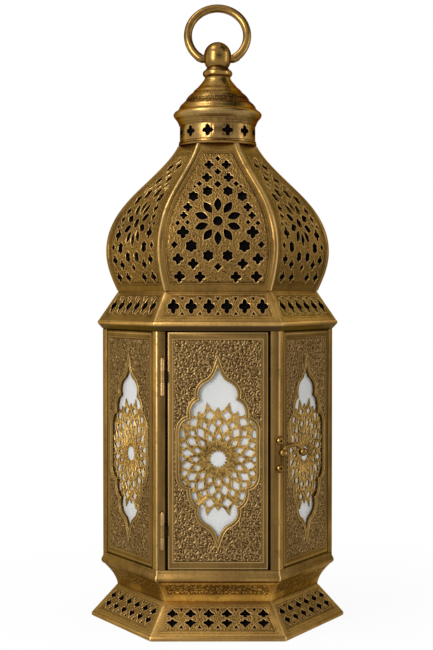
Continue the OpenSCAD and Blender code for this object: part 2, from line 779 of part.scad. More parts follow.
// Outline of the window in a panel
module window() {
    translate([0, window_z])
        polygon([for (p = window_outline) [p[0] * window_half_w, p[1] * window_half_h]]);
}

// A flat plate drawn in the front face, between two depths behind the face of the posts
module at_depth(face, back) {
    front_plane() translate([0, 0, face_y - back]) linear_extrude(back - face) children();
}

// Rectangle across the front face between two heights
module rectangle(half, low, high) {
    translate([-half, low]) square([2 * half, high - low]);
}

// Panel with returned edges, a sunk field, a bordered window and tabs for its pane
module panel(half, low, high, back) {
    skin = panel_face + sheet;
    at_depth(panel_face + field_sink, skin) difference() {
        rectangle(half, low, high);
        window();
    }
    at_depth(panel_face, panel_face + field_sink) difference() {
        rectangle(half, low, high);
        rectangle(half - frame_w, low + frame_w, high - frame_w);
    }
    at_depth(panel_face - border_proud, panel_face + field_sink) intersection() {
        difference() {
            offset(delta = border_w) window();
            window();
        }
        rectangle(half - frame_w, low + frame_w, high - frame_w);
    }
    at_depth(skin, back) difference() {
        rectangle(half, low, high);
        rectangle(half - sheet, low + sheet, high - sheet);
    }
    for (side = [0, 1]) mirror([side, 0, 0]) for (up = [-1, 1]) pane_tab(up);
}

// Bent tab that holds the edge of a pane against the grille
module pane_tab(up) {
    z = window_z + up * tab_place_share * glass_half_h;
    x = glass_half_w + panel_gap;
    at_depth(panel_face + sheet, glass_back + tab_t)
        translate([x, z - tab_h / 2]) square([tab_t, tab_h]);
    at_depth(glass_back, glass_back + tab_t)
        translate([x - tab_hold, z - tab_h / 2]) square([tab_hold, tab_h]);
}

// Star outline with its radii repeated over the rays, the first one at a half step
module star(radii) {
    n = len(radii);
    polygon([for (i = [0 : n * rays - 1]) let (a = 360 * (i / n + 1 / 2) / rays)
        rosette_r * radii[i % n] * [sin(a), cos(a)]]);
}

// One ring of kite-shaped holes
module hole_ring(shares) {
    for (i = [0 : rays - 1]) rotate([0, 0, 360 * (i + shares[4]) / rays])
        polygon(sized([[0, shares[0]], [shares[3], shares[1]], [0, shares[2]],
            [-shares[3], shares[1]]], rosette_r, rosette_r));
}

// Spired rosette with rings of holes around a star
module rosette() {
    difference() {
        star(edge_shares);
        star(star_shares);
        for (shares = ring_hole_shares) hole_ring(shares);
    }
}

// Grille with the rosette inside a thin rim that hides behind the window's border
module grille() {
    at_depth(grille_face, glass_face) {
        intersection() {
            offset(delta = grille_hold / 2) window();
            translate([0, rosette_z]) rosette();
        }
        difference() {
            offset(delta = grille_hold) window();
            offset(delta = grille_hold / 4) window();
        }
    }
}

// Pane of pale frosted glass
module pane() {
    at_depth(glass_face, glass_back)
        rectangle(glass_half_w, window_z - glass_half_h, window_z + glass_half_h);
}

module side_panel(i) {
    color(brass) on_face(i) panel(side_half, side_low, side_high, rebate);
}

module side_grille(i) {
    color(pale_brass) on_face(i) grille();
}

module side_glass(i) {
    color(frost) on_face(i) pane();
}

module door_panel() {
    color(brass) panel(door_half, door_low, door_high, rebate - door_stop_gap);
}

module door_grille() {
    color(pale_brass) grille();
}

module door_glass() {
    color(frost) pane();
}

// Height of a hinge's lower end
function hinge_low(k) = body_z + hinge_shares[k] * body_h - barrel_h / 2;

// One knuckle of a hinge between two shares of the barrel's height
module knuckle(k, from, to, trim) {
    low = hinge_low(k) + from * barrel_h + trim;
    high = hinge_low(k) + to * barrel_h - trim;
    translate([barrel_x, barrel_y, low]) cylinder(r = barrel_r, h = high - low, $fn = 48);
}

// Bore of a whole hinge barrel
module barrel_bore(k) {
    translate([barrel_x, barrel_y, hinge_low(k) - over])
        cylinder(r = hinge_pin_r + pin_fit, h = barrel_h + 2 * over, $fn = 32);
}

// Post leaves of both hinges, each with the two outer knuckles
module hinge_post_leaves() {
    color(brass) for (k = [0, 1]) difference() {
        union() {
            knuckle(k, knuckle_shares[0], knuckle_shares[1], 0);
            knuckle(k, knuckle_shares[2], knuckle_shares[3], 0);
            translate([barrel_x - leaf_w, -face_y - leaf_t, hinge_low(k)])
                cube([leaf_w - barrel_r * 0.8, leaf_t, barrel_h]);
            for (s = [[knuckle_shares[0], knuckle_shares[1]],
                    [knuckle_shares[2], knuckle_shares[3]]])
                translate([barrel_x - leaf_w, -face_y - leaf_t,
                    hinge_low(k) + s[0] * barrel_h])
                    cube([leaf_w, leaf_t, (s[1] - s[0]) * barrel_h]);
        }
        barrel_bore(k);
    }
}

// Door leaves of both hinges, each with the middle knuckle and a strip bent round the edge
module hinge_door_leaves() {
    web_face = -face_y - leaf_t - pin_fit * 2;
    color(brass) for (k = [0, 1]) {
        low = hinge_low(k) + knuckle_shares[1] * barrel_h + knuckle_gap;
        high = hinge_low(k) + knuckle_shares[2] * barrel_h - knuckle_gap;
        difference() {
            union() {
                knuckle(k, knuckle_shares[1], knuckle_shares[2], knuckle_gap);
                translate([barrel_x, web_face - leaf_t, low])
                    cube([-door_half - barrel_x, leaf_t, high - low]);
                translate([-door_half - leaf_t, web_face - leaf_t, low])
                    cube([leaf_t, leaf_t - web_face - face_y + door_leaf_depth, high - low]);
            }
            barrel_bore(k);
        }
    }
}

// Hinge pins with a small head at each end
module hinge_pins() {
    color(pale_brass) for (k = [0, 1]) translate([barrel_x, barrel_y, hinge_low(k)]) {
        cylinder(r = hinge_pin_r, h = barrel_h, $fn = 32);
        for (end = [0, 1]) translate([0, 0, end * barrel_h]) mirror([0, 0, 1 - end])
            rotate_extrude($fn = 32)
                polygon([[0, 0], [pin_head_r, 0], [0.85 * pin_head_r, 0.5 * pin_head_r],
                    [0.5 * pin_head_r, 0.85 * pin_head_r], [0, pin_head_r]]);
    }
}

// Folded plate of the latch, over the corner of the front right post
module latch_plate() {
    low = latch_z + rivet_places[1] - rivet_r - plate_t;
    high = latch_z + rivet_places[0] + rivet_r + plate_t;
    color(brass) difference() {
        hex_prism(body_r + plate_t / flat_share, low, high);
        hex_prism(body_r, low - over, high + over);
        for (side = [0, 1]) rotate([0, 0, -turn]) mirror([0, side, 0])
            translate([-2 * body_r, plate_half_w, low - over])
                cube([4 * body_r, 4 * body_r, high - low + 2 * over]);
        rotate([0, 0, -turn]) translate([-2 * body_r, -body_r, low - over])
            cube([2 * body_r, 2 * body_r, high - low + 2 * over]);
        on_corner(sides - 1) latch_holes();
    }
}

// Two tubular rivets that hold the plate of the latch
module latch_rivets() {
    seat = plate_t / flat_share;
    color(pale_brass) difference() {
        on_corner(sides - 1) for (z = rivet_places) translate([0, 0, latch_z + z])
            rotate([0, 90, 0]) difference() {
                rotate_extrude($fn = 48)
                    polygon([[0, -2 * sheet], [rivet_shank_r, -2 * sheet],
                        [rivet_shank_r, -plate_half_w / 2], [rivet_r, -plate_half_w / 2],
                        [rivet_r, seat + 0.5 * rivet_rise],
                        [0.8 * rivet_r, seat + rivet_rise], [0, seat + rivet_rise]]);
                translate([0, 0, seat]) cylinder(r = rivet_eye_r, h = rivet_rise + over, $fn = 32);
            }
        difference() {
            hex_prism(body_r + seat, body_z, moulding_z);
            on_corner(sides - 1) translate([-body_r, 0, 0]) for (z = rivet_places)
                translate([0, 0, latch_z + z]) rotate([0, 90, 0])
                    cylinder(r = rivet_shank_r, h = 2 * body_r, $fn = 48);
        }
    }
}

// Pivot of the latch lever, a headed pin through the plate and the post
module latch_pivot() {
    head = lever_out + lever_hub_r + panel_gap;
    color(pale_brass) on_corner(sides - 1) translate([0, 0, latch_z]) rotate([0, 90, 0])
        rotate_extrude($fn = 48)
            polygon([[0, -2 * sheet], [lever_pin_r, -2 * sheet], [lever_pin_r, head],
                [1.7 * lever_pin_r, head], [1.5 * lever_pin_r, head + 0.7 * lever_pin_r],
                [0, head + lever_pin_r]]);
}

// Arched latch lever with a knob, swung clear of the door
module latch_lever() {
    color(brass) on_corner(sides - 1) translate([lever_out, 0, latch_z]) difference() {
        union() {
            sphere(r = lever_hub_r, $fn = 48);
            translate([0, lever_reach, 0]) sphere(r = knob_r, $fn = 48);
            translate([0, lever_reach / 2, lever_rise - lever_arc_r])
                rotate([90, 0, 90]) rotate([0, 0, 90 - lever_arc_half])
                    rotate_extrude(angle = 2 * lever_arc_half, $fn = 64)
                        translate([lever_arc_r, 0]) circle(r = lever_r, $fn = 24);
        }
        translate([-lever_hub_r - over, 0, 0]) rotate([0, 90, 0])
            cylinder(r = lever_pin_r + pin_fit, h = 2 * (lever_hub_r + over), $fn = 48);
    }
}

foot_rim();
base_panels();
cove_band();
bottom_rail();
floor_tray();
candle_cup();
post(0);  // post_right
post(1);  // post_back_right
post(2);  // post_back_left
post(3);  // post_left
post(4);  // post_front_left
post(5);  // post_front_right
top_rail();
cornice_moulding();
cornice_panels();
dome_panel(0);  // dome_panel_front
dome_panel(1);  // dome_panel_right_front
dome_panel(2);  // dome_panel_right_back
dome_panel(3);  // dome_panel_back
dome_panel(4);  // dome_panel_left_back
dome_panel(5);  // dome_panel_left_front
dome_ribs();
dome_collar();
vent_gallery();
crown_cap();
finial();
finial_nut();
bail_ring();
side_panel(1);  // side_panel_right_front
side_panel(2);  // side_panel_right_back
side_panel(3);  // side_panel_back
side_panel(4);  // side_panel_left_back
side_panel(5);  // side_panel_left_front
side_grille(1);  // side_grille_right_front
side_grille(2);  // side_grille_right_back
side_grille(3);  // side_grille_back
side_grille(4);  // side_grille_left_back
side_grille(5);  // side_grille_left_front
side_glass(1);  // side_glass_right_front
side_glass(2);  // side_glass_right_back
side_glass(3);  // side_glass_back
side_glass(4);  // side_glass_left_back
side_glass(5);  // side_glass_left_front
door_panel();
door_grille();
door_glass();
hinge_post_leaves();
hinge_door_leaves();
hinge_pins();
latch_plate();
latch_rivets();
latch_pivot();
latch_lever();
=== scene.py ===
"""Looks of a six-sided pierced brass lantern around its packed metal and glass parts."""

import logging
import math
from dataclasses import dataclass, replace
from enum import Enum
from functools import cache
from typing import Callable, ClassVar, Sequence

import bmesh
import bpy
import numpy as np
from mathutils import Matrix, Vector


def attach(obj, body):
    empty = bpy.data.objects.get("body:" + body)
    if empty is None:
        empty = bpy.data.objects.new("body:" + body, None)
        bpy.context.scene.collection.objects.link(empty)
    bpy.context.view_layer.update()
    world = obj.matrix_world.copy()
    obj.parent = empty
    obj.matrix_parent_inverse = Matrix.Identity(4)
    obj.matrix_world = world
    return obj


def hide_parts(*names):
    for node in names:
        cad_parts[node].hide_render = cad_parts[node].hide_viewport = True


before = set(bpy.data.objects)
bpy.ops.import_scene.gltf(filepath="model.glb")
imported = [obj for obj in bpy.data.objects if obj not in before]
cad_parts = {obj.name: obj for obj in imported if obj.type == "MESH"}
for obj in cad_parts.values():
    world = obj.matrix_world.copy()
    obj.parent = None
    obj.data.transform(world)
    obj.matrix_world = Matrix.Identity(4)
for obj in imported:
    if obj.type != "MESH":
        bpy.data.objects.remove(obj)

LOG = logging.getLogger("lantern")
MM = 0.001
SIDES = 6
SIXTH = math.radians(60)
FLAT = math.cos(SIXTH / 2)
SLOPE = math.tan(SIXTH / 2)

Pair = tuple[float, float]
Point = tuple[float, float, float]
Colour = tuple[float, float, float]
Grain = tuple[float, float, float, float, float]
Object = bpy.types.Object


@dataclass(frozen=True)
class Sizes:
    """Shared sizes of the lantern in millimetres, as its solids have them.

    A line or seam is a rectangle on each face: half width, foot and head.
    """

    body_r: float = 82.7
    cornice_z: float = 213.8
    dome_z: float = 234.5
    dome_h: float = 103.5
    dome_r: float = 79.4
    collar_z: float = 338.0
    gallery_z: float = 341.5
    gallery_r: float = 27.1
    cap_z: float = 352.3
    cap_r: float = 31.7
    cap_h: float = 34.2
    finial_z: float = 386.5
    window_z: float = 125.292
    window_half: Pair = (25.705, 57.968)
    rosette_z: float = 121.272
    rosette_r: float = 38.815
    skirt_foot: Pair = (90.18, 3.6)
    skirt_head: Pair = (72.2, 23.4)
    cornice_low_r: float = 85.4
    hinge_x: float = -37.24
    hinge_y: float = -73.32
    door_line: Point = (33.1, 47.7, 206.1)
    side_line: Point = (33.2, 48.7, 205.1)
    side_seam: Point = (34.5, 47.3, 206.5)
    field_line: Point = (30.45, 51.85, 201.95)
    field_half_w: float = 30.1
    field_low: float = 52.2
    field_high: float = 201.6

    @property
    def face_y(self) -> float:
        """Distance of the body's faces from the axis."""
        return self.body_r * FLAT


SIZES = Sizes()
# Control points of the dome's corner line, as shares of its radius and height.
OGEE = (
    (0.897, 0.0), (0.947, 0.08), (1.0, 0.174), (1.0, 0.272), (1.0, 0.461), (0.844, 0.597),
    (0.694, 0.706), (0.517, 0.835), (0.404, 0.917), (0.349, 1.0),
)
# Curves of a quarter of the window from its top, as shares of its half width and height.
WINDOW_CURVES = (
    ((0, 1), (0.06, 0.92), (0.13, 0.87), (0.23, 0.836)),
    ((0.23, 0.836), (0.44, 0.80), (0.58, 0.72), (0.467, 0.616)),
    ((0.467, 0.616), (0.72, 0.60), (0.74, 0.45), (0.70, 0.395)),
    ((0.70, 0.395), (0.9, 0.395), (1, 0.33), (1, 0.25)),
)
# Right half of a spade from its point down.
SPADE = (
    (0, 0.94), (0.26, 0.56), (0.5, 0.28), (0.94, 0.02), (1, -0.22), (0.66, -0.4), (0.34, -0.42),
    (0.3, -0.66), (0, -0.78),
)
FACES = ("door", "right_front", "right_back", "back", "left_back", "left_front")


class Zone(Enum):
    """Worked part of a piece: way in from the corners, lowest and highest place, in mm."""

    DOME_FIELD = (5.6, SIZES.dome_z + 5.4, SIZES.collar_z - 7.2)
    CORNICE_FIELD = (5.0, SIZES.cornice_z + 3.6, SIZES.dome_z - 3.2)
    SKIRT_FIELD = (5.6, 6.6, 19.4)
    COVE_FIELD = (3.0, 28.6, 36.4)
    CAP_BAND = (0.0, SIZES.cap_z + 0.43 * SIZES.cap_h, SIZES.cap_z + 0.60 * SIZES.cap_h)


class Motif(Enum):
    """Lobed hole: number of lobes and radius from a tip to the notch beside it, as shares."""

    QUATREFOIL = (4, (1.0, 0.86, 0.56))
    DIAMOND = (4, (1.0, 0.68))
    ROUNDED = (6, (1.0, 0.88, 0.76))


def cubic(p: Sequence[Pair], steps: int) -> np.ndarray:
    """Points of a cubic curve.

    Args:
        p: its four control points.
        steps: how many spans the curve is split into.

    Returns:
        An array of steps + 1 points.
    """
    t = np.linspace(0, 1, steps + 1)[:, None]
    s = 1 - t
    q = np.asarray(p, float)
    return s**3 * q[0] + 3 * s * s * t * q[1] + 3 * s * t * t * q[2] + t**3 * q[3]


def chain(curves: Sequence[Sequence[Pair]], steps: int) -> np.ndarray:
    """Points of cubic curves that follow on each other, each joint once."""
    return np.vstack([cubic(p, steps)[min(i, 1):] for i, p in enumerate(curves)])


def dome_line(steps: int) -> np.ndarray:
    """Corner radius and height in mm along the dome, in so many steps for each of its curves."""
    line = chain((OGEE[0:4], OGEE[3:7], OGEE[6:10]), steps)
    return line * (SIZES.dome_r, SIZES.dome_h) + (0, SIZES.dome_z)


def window_outline(steps: int) -> np.ndarray:
    """Outline of the cartouche window.

    Args:
        steps: spans in each of the four curves of a quarter.

    Returns:
        Points across and up in millimetres, anticlockwise seen from outside.
    """
    quarter = chain(WINDOW_CURVES, steps)
    right = np.vstack((quarter, quarter[::-1] * (1, -1)))
    loop = np.vstack((right, right[-2:0:-1] * (-1, 1)))[::-1]
    return loop * SIZES.window_half + (0, SIZES.window_z)


def offset_outline(loop: np.ndarray, out: float, blunt: float = 0.45) -> np.ndarray:
    """Moves a closed anticlockwise outline outwards with mitred corners.

    Args:
        loop: its points.
        out: the distance, inwards where negative.
        blunt: how early a sharp corner is cut short, from 0 for never.

    Returns:
        The moved points, as many as before.
    """
    before = loop - np.roll(loop, 1, 0)
    n1, n2 = (np.column_stack((d[:, 1], -d[:, 0])) / np.linalg.norm(d, axis=1)[:, None]
              for d in (before, np.roll(before, -1, 0)))
    mid = n1 + n2
    length = np.maximum((mid * n1).sum(1), blunt)
    return loop + mid * (out / length)[:, None]


def inside(loop: np.ndarray, x: np.ndarray, y: np.ndarray) -> np.ndarray:
    """Tells which points lie inside a closed outline.

    Args:
        loop: the outline.
        x: their places across.
        y: their places up.

    Returns:
        A mask of the same shape as x.
    """
    found = np.zeros(x.shape, bool)
    for (x1, y1), (x2, y2) in zip(loop, np.roll(loop, -1, 0)):
        if y1 != y2:
            found ^= ((y1 > y) != (y2 > y)) & (x < (x2 - x1) * (y - y1) / (y2 - y1) + x1)
    return found


def anticlockwise(loop: np.ndarray) -> np.ndarray:
    """The outline in the order that runs anticlockwise."""
    after = np.roll(loop, -1, 0)
    area = (loop[:, 0] * after[:, 1] - after[:, 0] * loop[:, 1]).sum()
    return loop if area > 0 else loop[::-1]


def lobed(motif: Motif, radius: float) -> np.ndarray:
    """Outline of a lobed hole round the origin.

    Args:
        motif: its kind.
        radius: radius at the lobes' tips.

    Returns:
        Its points, in the radius' units.
    """
    lobes, shares = motif.value
    n = len(shares) - 1
    i = np.arange(2 * n * lobes)
    k = i % (2 * n)
    far = radius * np.asarray(shares)[np.where(k <= n, k, 2 * n - k)]
    a = np.pi * i / (n * lobes)
    return np.column_stack((far * np.sin(a), far * np.cos(a)))


def leaf(length: float, width: float) -> np.ndarray:
    """Outline of a leaf that stands on end round the origin.

    Args:
        length: from point to point.
        width: at its middle.

    Returns:
        Its points.
    """
    i = np.arange(10)
    t = np.where(i < 5, i, 10 - i) / 5
    side = np.where(i < 5, 1, -1) * width / 2 * np.sin(np.pi * t)
    return np.column_stack((side, length * (t - 0.5)))


def spade(size: float) -> np.ndarray:
    """Outline of a spade with its point up, or down for a negative size."""
    right = np.array(SPADE, float)
    return size * np.vstack((right, right[-2:0:-1] * (-1, 1)))


def triangle(size: float) -> np.ndarray:
    """Outline of a small triangle with its point up, or down for a negative size."""
    return size * np.array([(-1, -FLAT), (1, -FLAT), (0, FLAT)])


def columns(count: int, pitch: float) -> np.ndarray:
    """Places across of a row of holes."""
    return (np.arange(count) - (count - 1) / 2) * pitch


def spun(points: np.ndarray, degrees: float) -> np.ndarray:
    """Flat points turned anticlockwise about the origin."""
    c, s = math.cos(math.radians(degrees)), math.sin(math.radians(degrees))
    return points @ np.array([[c, s], [-s, c]])


def on_face(across: np.ndarray, up: np.ndarray, out: np.ndarray | float) -> np.ndarray:
    """Points across and up the front face and out from the posts', from mm to metres."""
    return np.stack(np.broadcast_arrays(across, -(SIZES.face_y + out), up), -1) * MM


class Shell:
    """Outer side of one of six equal sheets, bent about level lines only."""

    def __init__(self, line: np.ndarray, upright: bool) -> None:
        """Measures the sheet.

        Args:
            line: rows of corner radius and height in millimetres, upwards.
            upright: whether places up the sheet are heights, or lengths along it from below.
        """
        self.half = line[:, 0] / 2
        self.out, self.rise = line[:, 0] * FLAT, line[:, 1]
        steps = np.hypot(np.diff(self.out), np.diff(self.rise))
        self.arc = np.concatenate(([0], np.cumsum(steps)))
        self.up = self.rise if upright else self.arc
        self.lean = np.arctan2(np.gradient(self.out, self.arc), np.gradient(self.rise, self.arc))

    def place(self, x: np.ndarray, up: np.ndarray, out: np.ndarray | float) -> np.ndarray:
        """Points across and up the front sheet and out from it, from mm to metres."""
        r, z, a = (np.interp(up, self.up, v) for v in (self.out, self.rise, self.lean))
        return np.stack((x, -(r + out * np.cos(a)), z - out * np.sin(a)), -1) * MM


@dataclass(frozen=True)
class Arabesque:
    """Scrolls, stems and leaves that run over a field."""

    half_w: float
    low: float
    high: float
    pitch: float
    seed: int = 11
    scatter: float = 0.24
    turn_share: float = 0.388
    stem_share: float = 0.112
    row_share: float = 0.87
    leaf_share: float = 0.408
    soft_edge: float = 0.6

    def height(self, x: np.ndarray, y: np.ndarray, rim: np.ndarray) -> np.ndarray:
        """Height of the scrolls.

        Args:
            x: places across in millimetres.
            y: places up in millimetres.
            rim: their way in from the field's edge, where the scrolls run out.

        Returns:
            Heights between 0 and 1.
        """
        rng = np.random.default_rng(self.seed)
        pitch, row = self.pitch, self.pitch * self.row_share
        x, y = x + self.drift(rng, x, y), y + self.drift(rng, x, y)
        cols, rows = int(2 * self.half_w / pitch) + 1, int((self.high - self.low) / row) + 1
        i, j = np.meshgrid(np.arange(cols), np.arange(rows))
        count = cols * rows
        spots = np.column_stack([
            place.ravel() + rng.uniform(-1, 1, count) * self.scatter * pitch
            for place in (-self.half_w + (i + 0.5 * (j % 2)) * pitch, self.low + j * row)])
        hand = np.where(rng.random(count) < 0.5, 1.0, -1.0)
        turn = rng.uniform(0, 2 * np.pi, count)
        d = np.hypot(x[..., None] - spots[:, 0], y[..., None] - spots[:, 1])
        order = np.argpartition(d, 2, axis=-1)[..., :2]
        near = np.take_along_axis(d, order, -1)
        k = np.take_along_axis(order, near.argmin(-1)[..., None], -1)[..., 0]
        r, far = near.min(-1) / pitch, near.max(-1) / pitch
        theta = np.arctan2(y - spots[k, 1], x - spots[k, 0])
        arm = np.cos(hand[k] * theta + 2 * np.pi * r / self.turn_share + turn[k])
        curl = np.clip(0.5 + 0.8 * arm, 0, 1)
        stem = np.clip(1.15 - (far - r) / self.stem_share, 0, 1)
        petal = (np.clip(np.cos(3 * theta + turn[k]) - 0.2, 0, 1)
                 * np.clip(r / self.leaf_share, 0, 1))
        return (np.clip(np.maximum(np.maximum(curl * 0.9, petal), stem * 0.55), 0, 1)
                * np.clip(rim / self.soft_edge, 0, 1))

    @staticmethod
    def drift(rng: np.random.Generator, x: np.ndarray, y: np.ndarray) -> np.ndarray:
        """Smooth random shift of up to about a millimetre.

        Args:
            rng: where its numbers come from.
            x: places across in millimetres.
            y: places up in millimetres.

        Returns:
            The shift at each place.
        """
        shift = np.zeros_like(x)
        for _ in range(5):
            a, b = rng.uniform(0.25, 0.9, 2) * rng.choice((-1, 1), 2)
            shift += 0.28 * np.sin(a * x + b * y + rng.uniform(0, 2 * np.pi))
        return shift


class Bench:
    """Small set of modelling moves shared by the sub-assemblies."""

    WELD: ClassVar[float] = 2e-6
    TURN_STEPS: ClassVar[int] = 96
    FLUSH: ClassVar[float] = math.radians(0.6)

    @staticmethod
    def hold(*objects: Object) -> None:
        """Selects objects alone and makes the first one active.

        Args:
            objects: the objects.
        """
        bpy.ops.object.select_all(action="DESELECT")
        for obj in objects:
            obj.select_set(True)
        bpy.context.view_layer.objects.active = objects[0]

    @staticmethod
    def edit(obj: Object, *moves: Callable[[], object]) -> None:
        """Runs edit-mode operators on a mesh.

        Args:
            obj: the mesh object.
            moves: calls without arguments, run in turn, at first with all selected.
        """
        Bench.hold(obj)
        bpy.ops.object.mode_set(mode="EDIT")
        bpy.ops.mesh.select_all(action="SELECT")
        for move in moves:
            move()
        bpy.ops.object.mode_set(mode="OBJECT")

    @staticmethod
    def weld() -> None:
        """Joins vertices that share a place, in edit mode."""
        bpy.ops.mesh.remove_doubles(threshold=Bench.WELD)

    @staticmethod
    def smooth(obj: Object, degrees: float) -> Object:
        """Smooths the shading under an angle and gives the object back."""
        Bench.hold(obj)
        bpy.ops.object.shade_smooth_by_angle(angle=math.radians(degrees))
        return obj

    @staticmethod
    def linked(obj: Object, name: str) -> Object:
        """Names an object and its mesh and puts it in the scene."""
        obj.name = obj.data.name = name
        bpy.context.scene.collection.objects.link(obj)
        return obj

    @staticmethod
    def copied(obj: Object, name: str) -> Object:
        """Copy of an object with a mesh of its own."""
        new = obj.copy()
        new.data = obj.data.copy()
        return Bench.linked(new, name)

    @staticmethod
    def grid(name: str, table: np.ndarray) -> Object:
        """Draws a grid out over rows of points.

        Args:
            name: name of the new piece.
            table: points in metres, by row, place in the row and axis.

        Returns:
            The new object, at the origin.
        """
        bpy.ops.object.select_all(action="DESELECT")
        bpy.ops.mesh.primitive_grid_add(x_subdivisions=table.shape[1] - 1,
                                        y_subdivisions=table.shape[0] - 1)
        obj = bpy.context.object
        obj.name = obj.data.name = name
        obj.data.vertices.foreach_set("co", table.astype(np.float32).ravel())
        obj.data.update()
        return obj

    @staticmethod
    def loft(name: str, rows: Sequence[Sequence[Point]], closed: bool = True,
             angle: float = 40) -> Object:
        """Draws a skin through rows of points, each of which closes on itself.

        Args:
            name: name of the new piece.
            rows: the rows, all of one length.
            closed: whether the last row joins the first. Both are filled if not.
            angle: shading angle in degrees.

        Returns:
            The new object, at the origin.
        """
        every = [*rows, rows[0]] if closed else rows
        obj = Bench.grid(name, np.array([[*row, row[0]] for row in every]))
        Bench.edit(obj, Bench.weld)
        if not closed:
            Bench.edit(obj, Bench.fill_ends)
        Bench.edit(obj, lambda: bpy.ops.mesh.normals_make_consistent(inside=False))
        return Bench.smooth(obj, angle)

    @staticmethod
    def fill_ends() -> None:
        """Fills every open rim of a mesh, in edit mode."""
        bpy.ops.mesh.select_mode(type="EDGE")
        bpy.ops.mesh.select_all(action="DESELECT")
        bpy.ops.mesh.select_non_manifold(extend=False, use_wire=False, use_multi_face=False,
                                         use_non_contiguous=False, use_verts=False)
        bpy.ops.mesh.edge_face_add()
        bpy.ops.mesh.select_mode(type="VERT")

    @staticmethod
    def lathe(name: str, profile: Sequence[Pair], angle: float) -> Object:
        """Turns a closed outline of radius and height in mm about the lantern's axis."""
        ways = [2 * math.pi * i / Bench.TURN_STEPS for i in range(Bench.TURN_STEPS)]
        return Bench.loft(name, [[(r * MM * math.cos(a), r * MM * math.sin(a), z * MM)
                                  for r, z in profile] for a in ways], angle=angle)

    @staticmethod
    def bevelled(node: str, width: float, angle: float, segments: int = 2) -> Object:
        """Copies a solid, welds it and rounds its edges.

        Args:
            node: name of the solid.
            width: width of the rounding in millimetres.
            angle: smallest angle of an edge that is rounded, in degrees.
            segments: faces across the rounding.

        Returns:
            The copy, which stands for the solid.
        """
        obj = Bench.copied(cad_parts[node], node + "_rounded")
        obj.parent = None
        obj.matrix_world = Matrix.Identity(4)
        for key in list(obj.keys()):
            del obj[key]
        Bench.edit(obj, Bench.weld,
                   lambda: bpy.ops.mesh.dissolve_limited(angle_limit=Bench.FLUSH))
        bevel = obj.modifiers.new("rounding", "BEVEL")
        bevel.width = width * MM
        bevel.segments = segments
        bevel.limit_method = "ANGLE"
        bevel.angle_limit = math.radians(angle)
        Bench.hold(obj)
        bpy.ops.object.modifier_apply(modifier=bevel.name)
        return Bench.smooth(obj, 35)

    @staticmethod
    def scatter(name: str, places: np.ndarray, radius: float) -> Object:
        """Sets one small bead at each of many places.

        Args:
            name: name of the new piece.
            places: middles of the beads in metres.
            radius: their radius in millimetres.

        Returns:
            One object with all beads.
        """
        bpy.ops.object.select_all(action="DESELECT")
        bpy.ops.mesh.primitive_ico_sphere_add(subdivisions=1, radius=radius * MM)
        seed = bpy.context.object
        co = np.array([v.co for v in seed.data.vertices])
        tri = np.array([list(p.vertices) for p in seed.data.polygons])
        verts = (places[:, None, :] + co[None]).reshape(-1, 3)
        faces = (tri[None] + (np.arange(len(places)) * len(co))[:, None, None]).reshape(-1, 3)
        mesh = bpy.data.meshes.new(name)
        mesh.from_pydata(verts.tolist(), [], faces.tolist())
        bpy.data.objects.remove(seed)
        return Bench.smooth(Bench.linked(bpy.data.objects.new(name, mesh), name), 180)

    @staticmethod
    def relief(name: str, spots: np.ndarray, height: np.ndarray, hidden: np.ndarray) -> Object:
        """Models a worked surface of the front face as a fine grid.

        Args:
            name: name of the new piece.
            spots: rows of points in metres, from left to right and upwards.
            height: height of the work at each point, kept as an attribute for the finish.
            hidden: points that are left open.

        Returns:
            The new object, which faces out.
        """
        obj = Bench.grid(name, spots)
        Bench.mark(obj, height)
        gone = hidden.ravel()

        def open_up() -> None:
            """Deletes the faces whose corners are all left open."""
            bm = bmesh.from_edit_mesh(obj.data)
            bm.verts.ensure_lookup_table()
            for f in bm.faces:
                f.select_set(all(gone[v.index] for v in f.verts))
            bmesh.update_edit_mesh(obj.data)
            bpy.ops.mesh.delete(type="FACE")

        Bench.edit(obj, open_up)
        if sum(p.normal.y for p in obj.data.polygons) > 0:
            Bench.edit(obj, bpy.ops.mesh.flip_normals)
        return Bench.smooth(obj, 60)

    @staticmethod
    def join(parts: Sequence[Object], name: str) -> Object:
        """Joins pieces.

        Args:
            parts: the pieces.
            name: name of what they make.

        Returns:
            The one object that is left.
        """
        Bench.hold(*parts)
        bpy.ops.object.join()
        obj = bpy.context.object
        obj.name = obj.data.name = name
        return obj

    @staticmethod
    def mark(obj: Object, height: np.ndarray) -> None:
        """Keeps a share of each vertex for the finish, as the attribute relief."""
        mark = obj.data.attributes.new("relief", "FLOAT", "POINT")
        mark.data.foreach_set("value", height.ravel().astype(np.float32))

    @staticmethod
    def copy_to_face(obj: Object, name: str, side: int) -> Object:
        """Copies a piece of the front face to the face that lies so many to the right."""
        new = Bench.copied(obj, name)
        new.data.transform(Matrix.Rotation(SIXTH * side, 4, "Z"))
        return new


